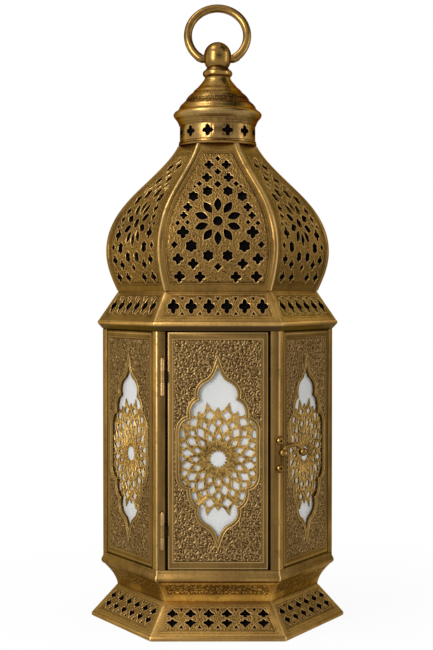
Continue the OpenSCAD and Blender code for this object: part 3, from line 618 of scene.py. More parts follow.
class Nodes:
    """Lays out nodes in one tree."""

    def __init__(self, tree: bpy.types.NodeTree) -> None:
        """Keeps the tree."""
        self.tree = tree

    def link(self, value: object, socket: bpy.types.NodeSocket) -> None:
        """Feeds a socket.

        Args:
            value: a node's output or a plain value.
            socket: the socket.
        """
        if isinstance(value, Value):
            self.tree.links.new(value.socket, socket)
        else:
            socket.default_value = value

    def add(self, kind: str, feeds: dict[str | int, object], **settings: object
            ) -> bpy.types.ShaderNode:
        """Adds a node.

        Args:
            kind: its type, without the prefix that all share.
            feeds: what goes into its inputs, by their names or numbers.
            settings: its properties.

        Returns:
            The node.
        """
        node = self.tree.nodes.new("ShaderNode" + kind)
        for key, setting in settings.items():
            setattr(node, key, setting)
        for key, value in feeds.items():
            self.link(value, node.inputs[key])
        return node

    def value(self, node: bpy.types.ShaderNode, output: str | int = 0) -> "Value":
        """One output of a node."""
        return Value(self, node.outputs[output])

    def math(self, operation: str, *values: object, clamp: bool = False) -> "Value":
        """Result of a math node, kept between 0 and 1 where it is clamped."""
        return self.value(self.add("Math", dict(enumerate(values)), operation=operation,
                                   use_clamp=clamp))

    def seen(self) -> "Value":
        """Tells the rays from the camera, in gloss or through glass from the others.

        Returns:
            1 for them, 0 for others.
        """
        path = self.add("LightPath", {})
        camera, gloss, glass = (self.value(path, f"Is {ray} Ray")
                                for ray in ("Camera", "Glossy", "Transmission"))
        return self.math("MAXIMUM", self.math("MAXIMUM", camera, gloss), glass)


class Value:
    """Output of a node, whose arithmetic is laid out as further nodes."""

    def __init__(self, nodes: Nodes, socket: bpy.types.NodeSocket) -> None:
        """Keeps the output and where it belongs."""
        self.nodes, self.socket = nodes, socket

    def __add__(self, other: object) -> "Value":
        """This value plus another."""
        return self.nodes.math("ADD", self, other)

    def __sub__(self, other: object) -> "Value":
        """This value less another."""
        return self.nodes.math("SUBTRACT", self, other)

    def __rsub__(self, other: float) -> "Value":
        """A number less this value."""
        return self.nodes.math("SUBTRACT", other, self)

    def __mul__(self, other: object) -> "Value":
        """This value times another."""
        return self.nodes.math("MULTIPLY", self, other)

    def __abs__(self) -> "Value":
        """This value without its sign."""
        return self.nodes.math("ABSOLUTE", self)


class Shading(Nodes):
    """Lays out the nodes of one material."""

    def __init__(self, name: str) -> None:
        """Starts an empty material with a principled shader.

        Args:
            name: its name.
        """
        self.material = bpy.data.materials.new(name)
        self.material.use_nodes = True
        super().__init__(self.material.node_tree)
        self.tree.nodes.clear()
        self.shader = self.add("BsdfPrincipled", {})
        self.add("OutputMaterial", {0: self.value(self.shader)})
        coords = self.add("TexCoord", {})
        self.place, self.facing = self.value(coords, "Object"), self.value(coords, "Normal")

    def surface(self, feeds: dict[str, object]) -> bpy.types.Material:
        """Feeds the shader's sockets by name and returns the finished material."""
        for key, value in feeds.items():
            self.link(value, self.shader.inputs[key])
        return self.material

    def vector(self, operation: str, *values: object, output: int = 0) -> Value:
        """Result of a vector math node."""
        return self.value(self.add("VectorMath", dict(enumerate(values)), operation=operation),
                          output)

    def ramp(self, value: object, low: float, high: float) -> Value:
        """Maps a value to 0 at low and 1 at high with a soft step."""
        return self.value(self.add("MapRange", {"Value": value, "From Min": low, "From Max": high},
                                   interpolation_type="SMOOTHSTEP"))

    def reach(self, x: Value, y: Value) -> Value:
        """Length of a level way."""
        return self.math("SQRT", x * x + y * y)

    def way_in(self, side: Value, up: Value, low: float, high: float) -> Value:
        """Shortest way in from the sides, the foot and the head of a field."""
        return self.math("MINIMUM", side, self.math("MINIMUM", up - low, high - up))

    def pile(self, base: object, part: Value, weight: float) -> Value:
        """A share with a weighted one on top, kept between 0 and 1."""
        return self.math("ADD", base, part * weight, clamp=True)

    def noise(self, scale: float, detail: float = 3, rough: float = 0.55,
              where: Value | None = None) -> Value:
        """Value of a noise texture on Object coordinates."""
        return self.value(self.add("TexNoise", {
            "Scale": scale, "Detail": detail, "Roughness": rough, "Vector": where or self.place}))

    def patches(self, scale: float, detail: float, rough: float, low: float, high: float,
                where: Value | None = None) -> Value:
        """Noise sharpened between two of its values."""
        return self.ramp(self.noise(scale, detail, rough, where), low, high)

    def stretched(self, scale: Point) -> Value:
        """Object coordinates with a scale of their own along each axis."""
        return self.vector("MULTIPLY", self.place, scale)

    def warped(self, scale: float, reach: float) -> Value:
        """Object coordinates pushed about by noise, by a reach in metres."""
        noise = self.add("TexNoise", {"Scale": scale, "Vector": self.place})
        return self.vector("MULTIPLY_ADD", self.value(noise, "Color"), (reach,) * 3, self.place)

    def cells(self, scale: float, feature: str, where: Value | None = None) -> Value:
        """Distance output of a Voronoi texture on Object coordinates."""
        return self.value(self.add("TexVoronoi", {"Scale": scale, "Vector": where or self.place},
                                   feature=feature), "Distance")

    def blend(self, share: object, a: object, b: object) -> Value:
        """Mixes two colours by a share."""
        a, b = (c if isinstance(c, Value) else (*c, 1.0) for c in (a, b))
        return self.value(self.add("Mix", {0: share, 6: a, 7: b}, data_type="RGBA"), 2)

    def bump(self, height: Value, strength: float, distance: float,
             under: Value | None = None) -> Value:
        """Normal of a bump node, on top of another one."""
        feeds = {"Strength": strength, "Distance": distance, "Height": height}
        return self.value(self.add("Bump", feeds | ({"Normal": under} if under else {})))


class Spot:
    """Where a point lies: along the axes, and on the nearest of the six faces."""

    def __init__(self, s: Shading) -> None:
        """Lays out the nodes that measure it, all in metres.

        Args:
            s: the material being laid out.
        """
        axes = s.add("SeparateXYZ", {0: s.place})
        self.x, self.y, self.z = (s.value(axes, i) for i in range(3))
        self.far = s.reach(self.x, self.y)
        local = s.math("FLOORED_MODULO", s.math("ARCTAN2", self.y, self.x), SIXTH) - SIXTH / 2
        self.across = abs(self.far * s.math("SINE", local))
        self.out = self.far * s.math("COSINE", local)
        self.free = self.out * SLOPE - self.across


@dataclass(frozen=True)
class BrassFinish:
    """Antiqued brass with tarnish in its hollows, worn edges, painted highlights and painted shade.

    Lengths are in millimetres, apart from ground_depth. A wear, tarnish, shade or mottle is a
    share, and 0 leaves it out. Each pair below says where a mask starts and where it is whole:
    the first five in metres, SUNK and FIELD in millimetres, the next two by the relief's height.
    A line of ENGRAVED starts with its way out from the field. Each grain is the scale, detail
    and roughness of a noise and the two values that it is sharpened between.
    """

    bright: Colour
    tarnish: Colour = (0.070, 0.037, 0.011)
    glance: Colour = (0.70, 0.58, 0.42)
    leaf: Colour | None = None
    roughness: float = 0.33
    haze: float = 0.2
    zone: Zone | None = None
    ground_depth: float = 0.0003
    relief: bool = False
    contrast: float = 0.62
    sheen: float = 0.22
    tarnish_share: float = 0.5
    side_shade: float = 0.0
    mottle: float = 0.0
    turned: float = 0.0
    corner_wear_and_highlight: float = 0.0
    worn_and_lit_from: float = 0.0
    lines: tuple[Point, ...] = ()
    line_highlight: float = 0.5
    seam_shade: Point | None = None
    front_shade: float = 0.0
    inner_shade: float = 0.0
    recess_shade: bool = False
    shade_below: float = 0.0

    KIND: ClassVar[str] = "brass"
    CLOUD: ClassVar[Grain] = (34, 5, 0.62, 0.34, 0.68)
    FINE: ClassVar[Grain] = (420, 4, 0.6, 0.3, 0.7)
    BRUSHED: ClassVar[Grain] = (1.0, 3, 0.6, 0.36, 0.64)
    STAIN: ClassVar[Grain] = (120, 6, 0.7, 0.50, 0.70)
    MOTTLED: ClassVar[Grain] = (560, 2, 0.5, 0.42, 0.60)
    RINGS: ClassVar[Grain] = (1.0, 2, 0.7, 0.42, 0.62)
    BRUSH_SCALES: ClassVar[Point] = (620, 620, 46)
    RING_SCALES: ClassVar[Point] = (9, 9, 1500)
    STAIN_SHARE: ClassVar[float] = 0.22
    BRUSH_SHARE: ClassVar[float] = 0.16
    WORN_AND_LIT_SHARE: ClassVar[float] = 0.28
    CORNER: ClassVar[Pair] = (0.0012, 0.0001)
    LINE: ClassVar[Pair] = (0.0005, 0.0002)
    CREASE: ClassVar[Pair] = (0.0005, 0.0001)
    BARREL: ClassVar[Pair] = (0.00185, 0.00165)
    ASIDE: ClassVar[Pair] = (0.034, 0.042)
    SUNK: ClassVar[Pair] = (0.75, 1.15)
    FIELD: ClassVar[Pair] = (0.0, 0.3)
    HOLLOW: ClassVar[Pair] = (0.62, 0.10)
    CREST: ClassVar[Pair] = (0.72, 1.0)
    ENGRAVED: ClassVar[tuple[Point, ...]] = ((0.15, 0.32, 0.12), (1.3, 0.26, 0.1))
    SOFT: ClassVar[float] = 0.8
    EDGE: ClassVar[Colour] = (0.58, 0.38, 0.15)
    UMBER: ClassVar[Colour] = (0.07, 0.042, 0.015)
    OLIVE: ClassVar[Colour] = (0.05, 0.031, 0.008)
    SEAM_SHADE: ClassVar[Colour] = (0.02, 0.012, 0.005)
    RECESS_SHADE: ClassVar[Colour] = (0.014, 0.009, 0.005)
    INNER_SHADE: ClassVar[Colour] = (0.012, 0.008, 0.005)

    def build(self, name: str) -> bpy.types.Material:
        """Lays out the material under a name.

        Args:
            name: its name.

        Returns:
            The finished material.
        """
        s = Shading(name)
        spot = Spot(s)
        fine, stain = s.patches(*self.FINE), s.patches(*self.STAIN)
        brushed = s.patches(*self.BRUSHED, s.stretched(self.BRUSH_SCALES))
        share = s.patches(*self.CLOUD) * self.tarnish_share + stain * self.STAIN_SHARE
        share = s.pile(share, brushed, self.BRUSH_SHARE)
        height = fine * 0.2 + brushed * 0.12
        # Painted shade: points far off the axis across, on the side faces, are pushed towards the
        # tarnish colour.
        if self.side_shade:
            share = s.pile(share, s.ramp(abs(spot.x), *self.ASIDE), self.side_shade)
        if self.mottle:
            share = s.pile(share, s.patches(*self.MOTTLED), self.mottle)
        if self.turned:
            rings = s.patches(*self.RINGS, s.stretched(self.RING_SCALES))
            share = s.pile(share, rings, self.turned)
            height = height - rings * 0.2
        normal = s.bump(height, 0.4, 0.00012)
        lit: Value | float = 0.0
        if self.zone:
            mask, line = self.zone_mask(s, spot)
            worked = self.worked_ground(s) * mask - line
            normal = s.bump(worked, 0.9, self.ground_depth, normal)
            hollow = s.math("ADD", mask - worked, line, clamp=True)
            share = s.pile(share, hollow, self.contrast)
            lit = s.ramp(worked, *self.CREST) * self.sheen
        if self.relief:
            carved = s.value(s.add("Attribute", {}, attribute_name="relief"), "Fac")
            share = s.pile(share, s.ramp(carved, *self.HOLLOW), self.contrast)
            lit = s.ramp(carved, *self.CREST) * self.sheen
        # The cap's rim is brightened past a radius: partly rubbed wear, partly a painted highlight.
        if self.worn_and_lit_from:
            wear_and_highlight = s.ramp(spot.far, self.worn_and_lit_from * MM, (self.worn_and_lit_from + self.SOFT) * MM)
            lit = s.pile(lit, wear_and_highlight, self.WORN_AND_LIT_SHARE)
        # Painted highlight: thin bright lines along the edges of panel frames and fields.
        for line in self.lines:
            lit = s.pile(lit, s.ramp(abs(self.line_depth(s, spot, line)), *self.LINE),
                         self.line_highlight)
        # Corners are brightened: partly rubbed wear, partly a painted highlight along the edges.
        if self.corner_wear_and_highlight:
            wear_and_highlight = s.ramp(spot.free, *self.CORNER) * (1.15 - stain)
            lit = s.pile(lit, wear_and_highlight, self.corner_wear_and_highlight)
        return s.surface({
            "Metallic": 1.0, "Base Color": self.colour(s, spot, share, lit), "Normal": normal,
            "Specular Tint": (*self.glance, 1.0),
            "Roughness": share * self.haze + self.roughness + fine * 0.06})

    def colour(self, s: Shading, spot: Spot, share: Value, lit: Value | float) -> Value:
        """Colour of the brass, from bright metal and painted highlight to tarnish and painted
        shade.

        Args:
            s: the material being laid out.
            spot: where a point lies.
            share: share of tarnish.
            lit: share of worn bright metal and painted highlight.

        Returns:
            The colour.
        """
        colour = s.blend(share, self.bright, self.tarnish)
        if self.front_shade:
            edge = 0.5 * SIZES.body_r
            front = s.ramp(abs(spot.x), edge * MM, (edge - self.SOFT) * MM)
            colour = s.blend(front * self.front_shade, colour, self.OLIVE)
        colour = s.blend(lit, colour, self.EDGE)
        # Painted shade: faces that look towards the axis are darkened almost to black.
        if self.inner_shade:
            colour = s.blend(self.inner_mask(s) * self.inner_shade, colour, self.INNER_SHADE)
        # Painted shadow: a dark line along the seam round the side panels.
        if self.seam_shade:
            depth = self.line_depth(s, spot, self.seam_shade)
            colour = s.blend(s.ramp(depth, *self.CREASE), colour, self.SEAM_SHADE)
        # Painted shade: parts sunk well behind the posts' faces are darkened.
        if self.recess_shade:
            start, end = ((SIZES.face_y - depth) * MM for depth in self.SUNK)
            colour = s.blend(s.ramp(spot.out, start, end), colour, self.RECESS_SHADE)
        if self.leaf:
            barrel = s.reach(spot.x - SIZES.hinge_x * MM, spot.y - SIZES.hinge_y * MM)
            colour = s.blend(s.ramp(barrel, *self.BARREL), self.leaf, colour)
        if self.shade_below:
            end = self.shade_below - 2 * self.SOFT
            shade = s.ramp(spot.z, self.shade_below * MM, end * MM)
            colour = s.blend(shade, colour, self.UMBER)
        return colour

    def worked_ground(self, s: Shading) -> Value:
        """Works the ground in curls and dots, finer on the cap.

        Args:
            s: the material being laid out.

        Returns:
            Its height, between 0 and 1.
        """
        if self.zone is Zone.CAP_BAND:
            curls = s.ramp(s.cells(560, "DISTANCE_TO_EDGE", s.warped(240, 0.0016)), 0.05, 0.3)
            return curls * s.ramp(s.cells(760, "F1"), 0.75, 0.2)
        where = s.warped(210, 0.0022)
        curls = s.ramp(s.cells(400, "DISTANCE_TO_EDGE", where), 0.05, 0.24)
        return curls * 0.7 + s.ramp(s.cells(820, "F1", where), 0.8, 0.2) * 0.3

    def zone_mask(self, s: Shading, spot: Spot) -> tuple[Value, Value | float]:
        """Share of the worked ground at a place and of the line engraved round it.

        Args:
            s: the material being laid out.
            spot: where a point lies.

        Returns:
            Both shares, each from 0 to 1.
        """
        edge, low, high = self.zone.value
        if self.zone is Zone.CAP_BAND:
            up = s.ramp(spot.z, low * MM, (low + 0.5) * MM)
            return up * s.ramp(spot.z, high * MM, (high - 0.5) * MM), 0.0
        depth = s.way_in(spot.free * (1 / MM) - edge, spot.z * (1 / MM), low, high)
        mask = s.ramp(depth, *self.FIELD)
        if self.zone is Zone.COVE_FIELD:
            return mask, 0.0
        inner, outer = (s.ramp(abs(depth + out), *span) for out, *span in self.ENGRAVED)
        return mask, s.math("MAXIMUM", inner, outer) * 0.8

    @staticmethod
    def line_depth(s: Shading, spot: Spot, box: Point) -> Value:
        """Way in from a rectangle on each face, given by half width, foot and head."""
        return s.way_in(box[0] * MM - spot.across, spot.z, box[1] * MM, box[2] * MM)

    @staticmethod
    def inner_mask(s: Shading) -> Value:
        """1 on faces that look towards the axis, 0 on those that look away."""
        outwards = s.vector("NORMALIZE", s.stretched((1, 1, 0)))
        return s.ramp(s.vector("DOT_PRODUCT", outwards, s.facing, output=1), 0.0, -0.25)


@dataclass(frozen=True)
class FrostedGlass:
    """Pale pane with a satin face, painted lighter towards the lantern's right and darker towards
    its left.
    """

    KIND: ClassVar[str] = "pane"
    tint: Colour = (0.47, 0.47, 0.455)
    clear: Colour = (0.70, 0.70, 0.685)
    spread: float = 0.075

    def build(self, name: str) -> bpy.types.Material:
        """Lays out the material under a name.

        Args:
            name: its name.

        Returns:
            The finished material.
        """
        s = Shading(name)
        cloud = s.patches(30, 3, 0.55, 0.3, 0.75)
        x = s.value(s.add("SeparateXYZ", {0: s.place}))
        # Painted light and shade: the tint runs from the darker tint on the left to the lighter one
        # on the right.
        tint = s.blend(s.ramp(x, -self.spread, self.spread), self.tint, self.clear)
        return s.surface({
            "Base Color": s.blend(cloud * 0.07, tint, (0.0, 0.0, 0.0)),
            "Roughness": cloud * 0.1 + 0.32, "Transmission Weight": 0.12, "IOR": 1.5,
            "Normal": s.bump(s.noise(1500, 2), 0.12, 0.00008)})


@dataclass(frozen=True)
class ShadowLining:
    """Near-black sheet that shows black behind the pierced sheets, as painted shade."""

    KIND: ClassVar[str] = "lining"
    shadow_tone: Colour = (0.0015, 0.001, 0.0008)

    def build(self, name: str) -> bpy.types.Material:
        """Lays out the material under a name.

        Args:
            name: its name.

        Returns:
            The finished material.
        """
        s = Shading(name)
        faint = tuple(2 * part for part in self.shadow_tone)
        return s.surface({
            "Base Color": s.blend(s.patches(160, 4, 0.55, 0.4, 0.7), self.shadow_tone, faint),
            "Roughness": 0.95, "Specular IOR Level": 0.05})


class Look(Enum):
    """Finish of each kind of piece, whose material is named after it."""

    # Painted light and shade: the front posts get a brighter copy of the posts' brass than the
    # others, with painted shade on their front flanks.
    FRAME = BrassFinish((0.39, 0.22, 0.063), tarnish_share=0.42, corner_wear_and_highlight=0.72,
                        front_shade=0.58, recess_shade=True)
    FRAME_SHADED = BrassFinish((0.24, 0.137, 0.039), tarnish_share=0.48, corner_wear_and_highlight=0.95,
                             recess_shade=True)
    DOOR = BrassFinish((0.20, 0.116, 0.033), tarnish_share=0.42, recess_shade=True,
                       lines=(SIZES.door_line, SIZES.field_line), line_highlight=0.4)
    # Painted shade: the side panels' brass is a little darker copy of the door's.
    SIDE = BrassFinish((0.18, 0.102, 0.029), tarnish_share=0.42, recess_shade=True,
                       lines=(SIZES.side_line, SIZES.field_line), line_highlight=0.3,
                       seam_shade=SIZES.side_seam)
    RAIL = BrassFinish((0.32, 0.185, 0.053), tarnish_share=0.4, side_shade=0.3,
                       corner_wear_and_highlight=0.75, roughness=0.3)
    # Painted light: the moulding's brass is a brighter copy of the foot's, with a painted shadow
    # along its lower part from shade_below.
    MOULDING = BrassFinish((0.61, 0.355, 0.107), tarnish_share=0.35, corner_wear_and_highlight=0.75,
                           roughness=0.28, shade_below=211.9)
    FOOT = replace(MOULDING, bright=(0.37, 0.212, 0.062), shade_below=0.0)
    WORN = BrassFinish((0.27, 0.155, 0.043), (0.06, 0.031, 0.01), (0.32, 0.23, 0.13),
                       roughness=0.22, haze=0.08)
    GALLERY = BrassFinish((0.31, 0.186, 0.06), (0.06, 0.032, 0.01), (0.3, 0.22, 0.12),
                          roughness=0.22, haze=0.1, tarnish_share=0.4)
    DOME = BrassFinish((0.245, 0.138, 0.034), zone=Zone.DOME_FIELD, tarnish_share=0.36,
                       inner_shade=0.95, contrast=0.45, sheen=0.1)
    CORNICE = BrassFinish((0.36, 0.205, 0.052), zone=Zone.CORNICE_FIELD, ground_depth=0.0002,
                          corner_wear_and_highlight=0.6, inner_shade=0.95, contrast=0.35, sheen=0.08)
    SKIRT = replace(CORNICE, bright=(0.42, 0.24, 0.062), zone=Zone.SKIRT_FIELD,
                    tarnish_share=0.35, contrast=0.3)
    COVE = BrassFinish((0.66, 0.36, 0.066), (0.13, 0.065, 0.012), zone=Zone.COVE_FIELD,
                       ground_depth=0.0006, corner_wear_and_highlight=0.4, side_shade=0.55, contrast=0.7,
                       sheen=0.35)
    CARVED = BrassFinish((0.205, 0.127, 0.049), relief=True, tarnish_share=0.3, contrast=1.0,
                         sheen=0.4)
    # Painted shade: a darker copy of the carved ground for the side panels.
    CARVED_SIDE = replace(CARVED, bright=(0.19, 0.117, 0.045))
    CHASED = replace(CARVED, bright=(0.25, 0.14, 0.034), contrast=0.7, sheen=0.25)
    RIDGE = replace(CARVED, bright=(0.265, 0.165, 0.051), contrast=0.9)
    RIM = BrassFinish((0.40, 0.25, 0.09), roughness=0.27, tarnish_share=0.3)
    RIB = BrassFinish((0.27, 0.155, 0.042), corner_wear_and_highlight=0.95, roughness=0.28)
    CAP = BrassFinish((0.37, 0.218, 0.066), (0.06, 0.032, 0.01), (0.3, 0.2, 0.1),
                      zone=Zone.CAP_BAND, tarnish_share=0.45, roughness=0.2, haze=0.12, turned=0.45,
                      contrast=0.4, worn_and_lit_from=0.95 * SIZES.cap_r)
    GRILLE = BrassFinish((0.52, 0.335, 0.095), (0.11, 0.058, 0.013), tarnish_share=0.35,
                         mottle=0.45)
    STRAND = BrassFinish((0.72, 0.48, 0.16), (0.13, 0.07, 0.016), tarnish_share=0.25, mottle=0.45,
                         roughness=0.38)
    # Painted highlight: the barrels are painted much brighter than the leaves. Painted shade: the
    # door's leaf in the gap is near-black.
    HINGE = BrassFinish((0.50, 0.32, 0.13), (0.09, 0.046, 0.015), (0.10, 0.06, 0.03),
                        (0.17, 0.097, 0.028), roughness=0.22, haze=0.1)
    HINGE_SHADOWED = replace(HINGE, bright=(0.36, 0.22, 0.08), leaf=(0.012, 0.008, 0.004))
    PLATE = BrassFinish((0.19, 0.105, 0.028), (0.05, 0.026, 0.008), roughness=0.25)
    KNOB = BrassFinish((0.25, 0.14, 0.036), (0.07, 0.036, 0.01), (0.1, 0.06, 0.03),
                       roughness=0.18, haze=0.1, tarnish_share=0.35)
    # Painted shade: pieces inside the lantern are painted a near-black brown.
    INTERIOR_SHADE = BrassFinish((0.05, 0.031, 0.012), (0.02, 0.012, 0.006), roughness=0.6)
    DARK = ShadowLining()
    FROSTED = FrostedGlass()


@cache
def material(look: Look) -> bpy.types.Material:
    """Material of a look, built at its first use."""
    return look.value.build(f"{look.name.lower()}_{look.value.KIND}")


class SubAssembly:
    """Base of the sub-assemblies: dresses, attaches and reports their pieces."""

    @staticmethod
    def dress(obj: Object, look: Look) -> None:
        """Gives a piece its material."""
        obj.data.materials.clear()
        obj.data.materials.append(material(look))
        LOG.info("%s: %d faces", obj.name, len(obj.data.polygons))

    @staticmethod
    def dress_node(node: str, look: Look) -> None:
        """Gives a solid of the frame its material."""
        SubAssembly.dress(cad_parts[node], look)

    @staticmethod
    def keep(obj: Object, body: str, slot: str, look: Look,
             replaces: Sequence[str] = ()) -> None:
        """Finishes a new piece.

        Args:
            obj: the piece.
            body: the body that it rides on.
            slot: its material slot; not used.
            look: its finish.
            replaces: solids that it stands for.
        """
        SubAssembly.dress(obj, look)
        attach(obj, body)
        if replaces:
            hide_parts(*replaces)


@dataclass
class PanelWork(SubAssembly):
    """Embossed ground, cartouche border and grille of the six faces.

    Border and strand are sections: way out from an edge and height over the posts' faces. Kites
    are the holes of a ray: foot, widest place, head and half width in shares of the rosette's
    radius, and the share of a ray that they are turned by.
    """

    cell: float = 0.45
    sunk: float = -0.70
    relief_h: float = 0.75
    scrolls: Arabesque = Arabesque(38, 44, 208, 4.5)
    window_gap: float = 2.0
    panel_round: float = 0.22
    grille_round: float = 0.16
    sharp: float = 50
    border: tuple[Pair, ...] = (
        (-0.05, -1.6), (-0.05, -0.1), (0.15, 0.2), (0.5, 0.36), (0.9, 0.2), (1.2, -0.35),
        (1.65, -0.4), (1.95, 0.15), (2.35, 0.4), (2.7, 0.3), (3.0, -0.2), (3.0, -0.8),
    )
    border_blunt: float = 0.2
    border_dark_bright: Pair = (-0.55, 0.4)
    strand: tuple[Pair, ...] = (
        (0.0, -1.5), (0.02, -1.15), (0.25, -0.95), (0.55, -1.0), (0.75, -1.5),
    )
    strand_limit: float = -0.6
    rays: int = 16
    kites: tuple[tuple[float, ...], ...] = (
        (0.30, 0.395, 0.47, 0.048, 0.0), (0.44, 0.553, 0.652, 0.072, 0.5),
        (0.565, 0.635, 0.705, 0.055, 0.0), (0.69, 0.77, 0.86, 0.090, 0.5),
        (0.19, 0.255, 0.33, 0.022, 0.0), (0.24, 0.31, 0.42, 0.016, 0.5),
    )

    def build(self) -> None:
        """Models the front face once and copies it round."""
        parts = {"ground": self.embossed_ground(), "border": self.cartouche_border(),
                 "strands": self.rosette_strands()}
        for side, face in enumerate(FACES):
            body = "lantern" if side else "door"
            looks = {"ground": ("brass", Look.CARVED_SIDE if side else Look.CARVED),
                     "border": ("pale_brass", Look.RIDGE), "strands": ("pale_brass", Look.STRAND)}
            for part, obj in parts.items():
                self.keep(Bench.copy_to_face(obj, f"{face}_{part}", side), body, *looks[part])
        for obj in parts.values():
            bpy.data.objects.remove(obj)
        for side, face in enumerate(FACES):
            body, node, sheet = (("lantern", "side_{}_" + face, Look.SIDE) if side
                                 else ("door", "door_{}", Look.DOOR))
            panel, grille = node.format("panel"), node.format("grille")
            self.keep(Bench.bevelled(panel, self.panel_round, self.sharp), body, "brass",
                      sheet, [panel])
            self.keep(Bench.bevelled(grille, self.grille_round, self.sharp, 1), body,
                      "pale_brass", Look.GRILLE, [grille])
            self.dress_node(node.format("glass"), Look.FROSTED)

    def embossed_ground(self) -> Object:
        """Models the sunk ground of the front face as a relief.

        Returns:
            The relief, open where the cartouche lies.
        """
        s = SIZES
        nx = int(2 * s.field_half_w / self.cell)
        ny = int((s.field_high - s.field_low) / self.cell)
        gx, gy = np.meshgrid(np.linspace(-s.field_half_w, s.field_half_w, nx + 1),
                             np.linspace(s.field_low, s.field_high, ny + 1))
        rim = np.minimum(np.minimum(gx + s.field_half_w, s.field_half_w - gx),
                         np.minimum(gy - s.field_low, s.field_high - gy))
        h = self.scrolls.height(gx, gy, rim)
        hidden = inside(offset_outline(window_outline(6), self.window_gap), gx, gy)
        return Bench.relief("embossed_ground", on_face(gx, gy, self.sunk + h * self.relief_h), h,
                            hidden)

    def cartouche_border(self) -> Object:
        """Models the raised double line round the window.

        Returns:
            The border of the front face.
        """
        s = SIZES
        loop = window_outline(8)
        rows = []
        for out, up in self.border:
            moved = np.clip(offset_outline(loop, out, self.border_blunt),
                            (-s.field_half_w, s.field_low), (s.field_half_w, s.field_high))
            rows.append(on_face(*moved.T, up))
        obj = Bench.loft("cartouche_border", rows, angle=50)
        co = np.empty(3 * len(obj.data.vertices), np.float32)
        obj.data.vertices.foreach_get("co", co)
        low, high = self.border_dark_bright
        Bench.mark(obj, np.clip((-co[1::3] / MM - s.face_y - low) / (high - low), 0, 1))
        return obj

    def rosette_strands(self) -> Object:
        """Models the raised rims round the holes of the rosette.

        Returns:
            All rims of the front face as one object.
        """
        limit = offset_outline(window_outline(5), self.strand_limit)
        rims = []
        for low, wide, high, half, start in self.kites:
            kite = np.array([(0, high), (-half, wide), (0, low), (half, wide)]) * SIZES.rosette_r
            for i in range(self.rays):
                loop = spun(kite, -360 * (i + start) / self.rays) + (0, SIZES.rosette_z)
                mid = loop.mean(0)
                if inside(limit, mid[:1], mid[1:])[0]:
                    rims.append(Bench.loft("kite", [on_face(*offset_outline(loop, out).T, up)
                                                    for out, up in self.strand]))
        return Bench.join(rims, "rosette_strands")


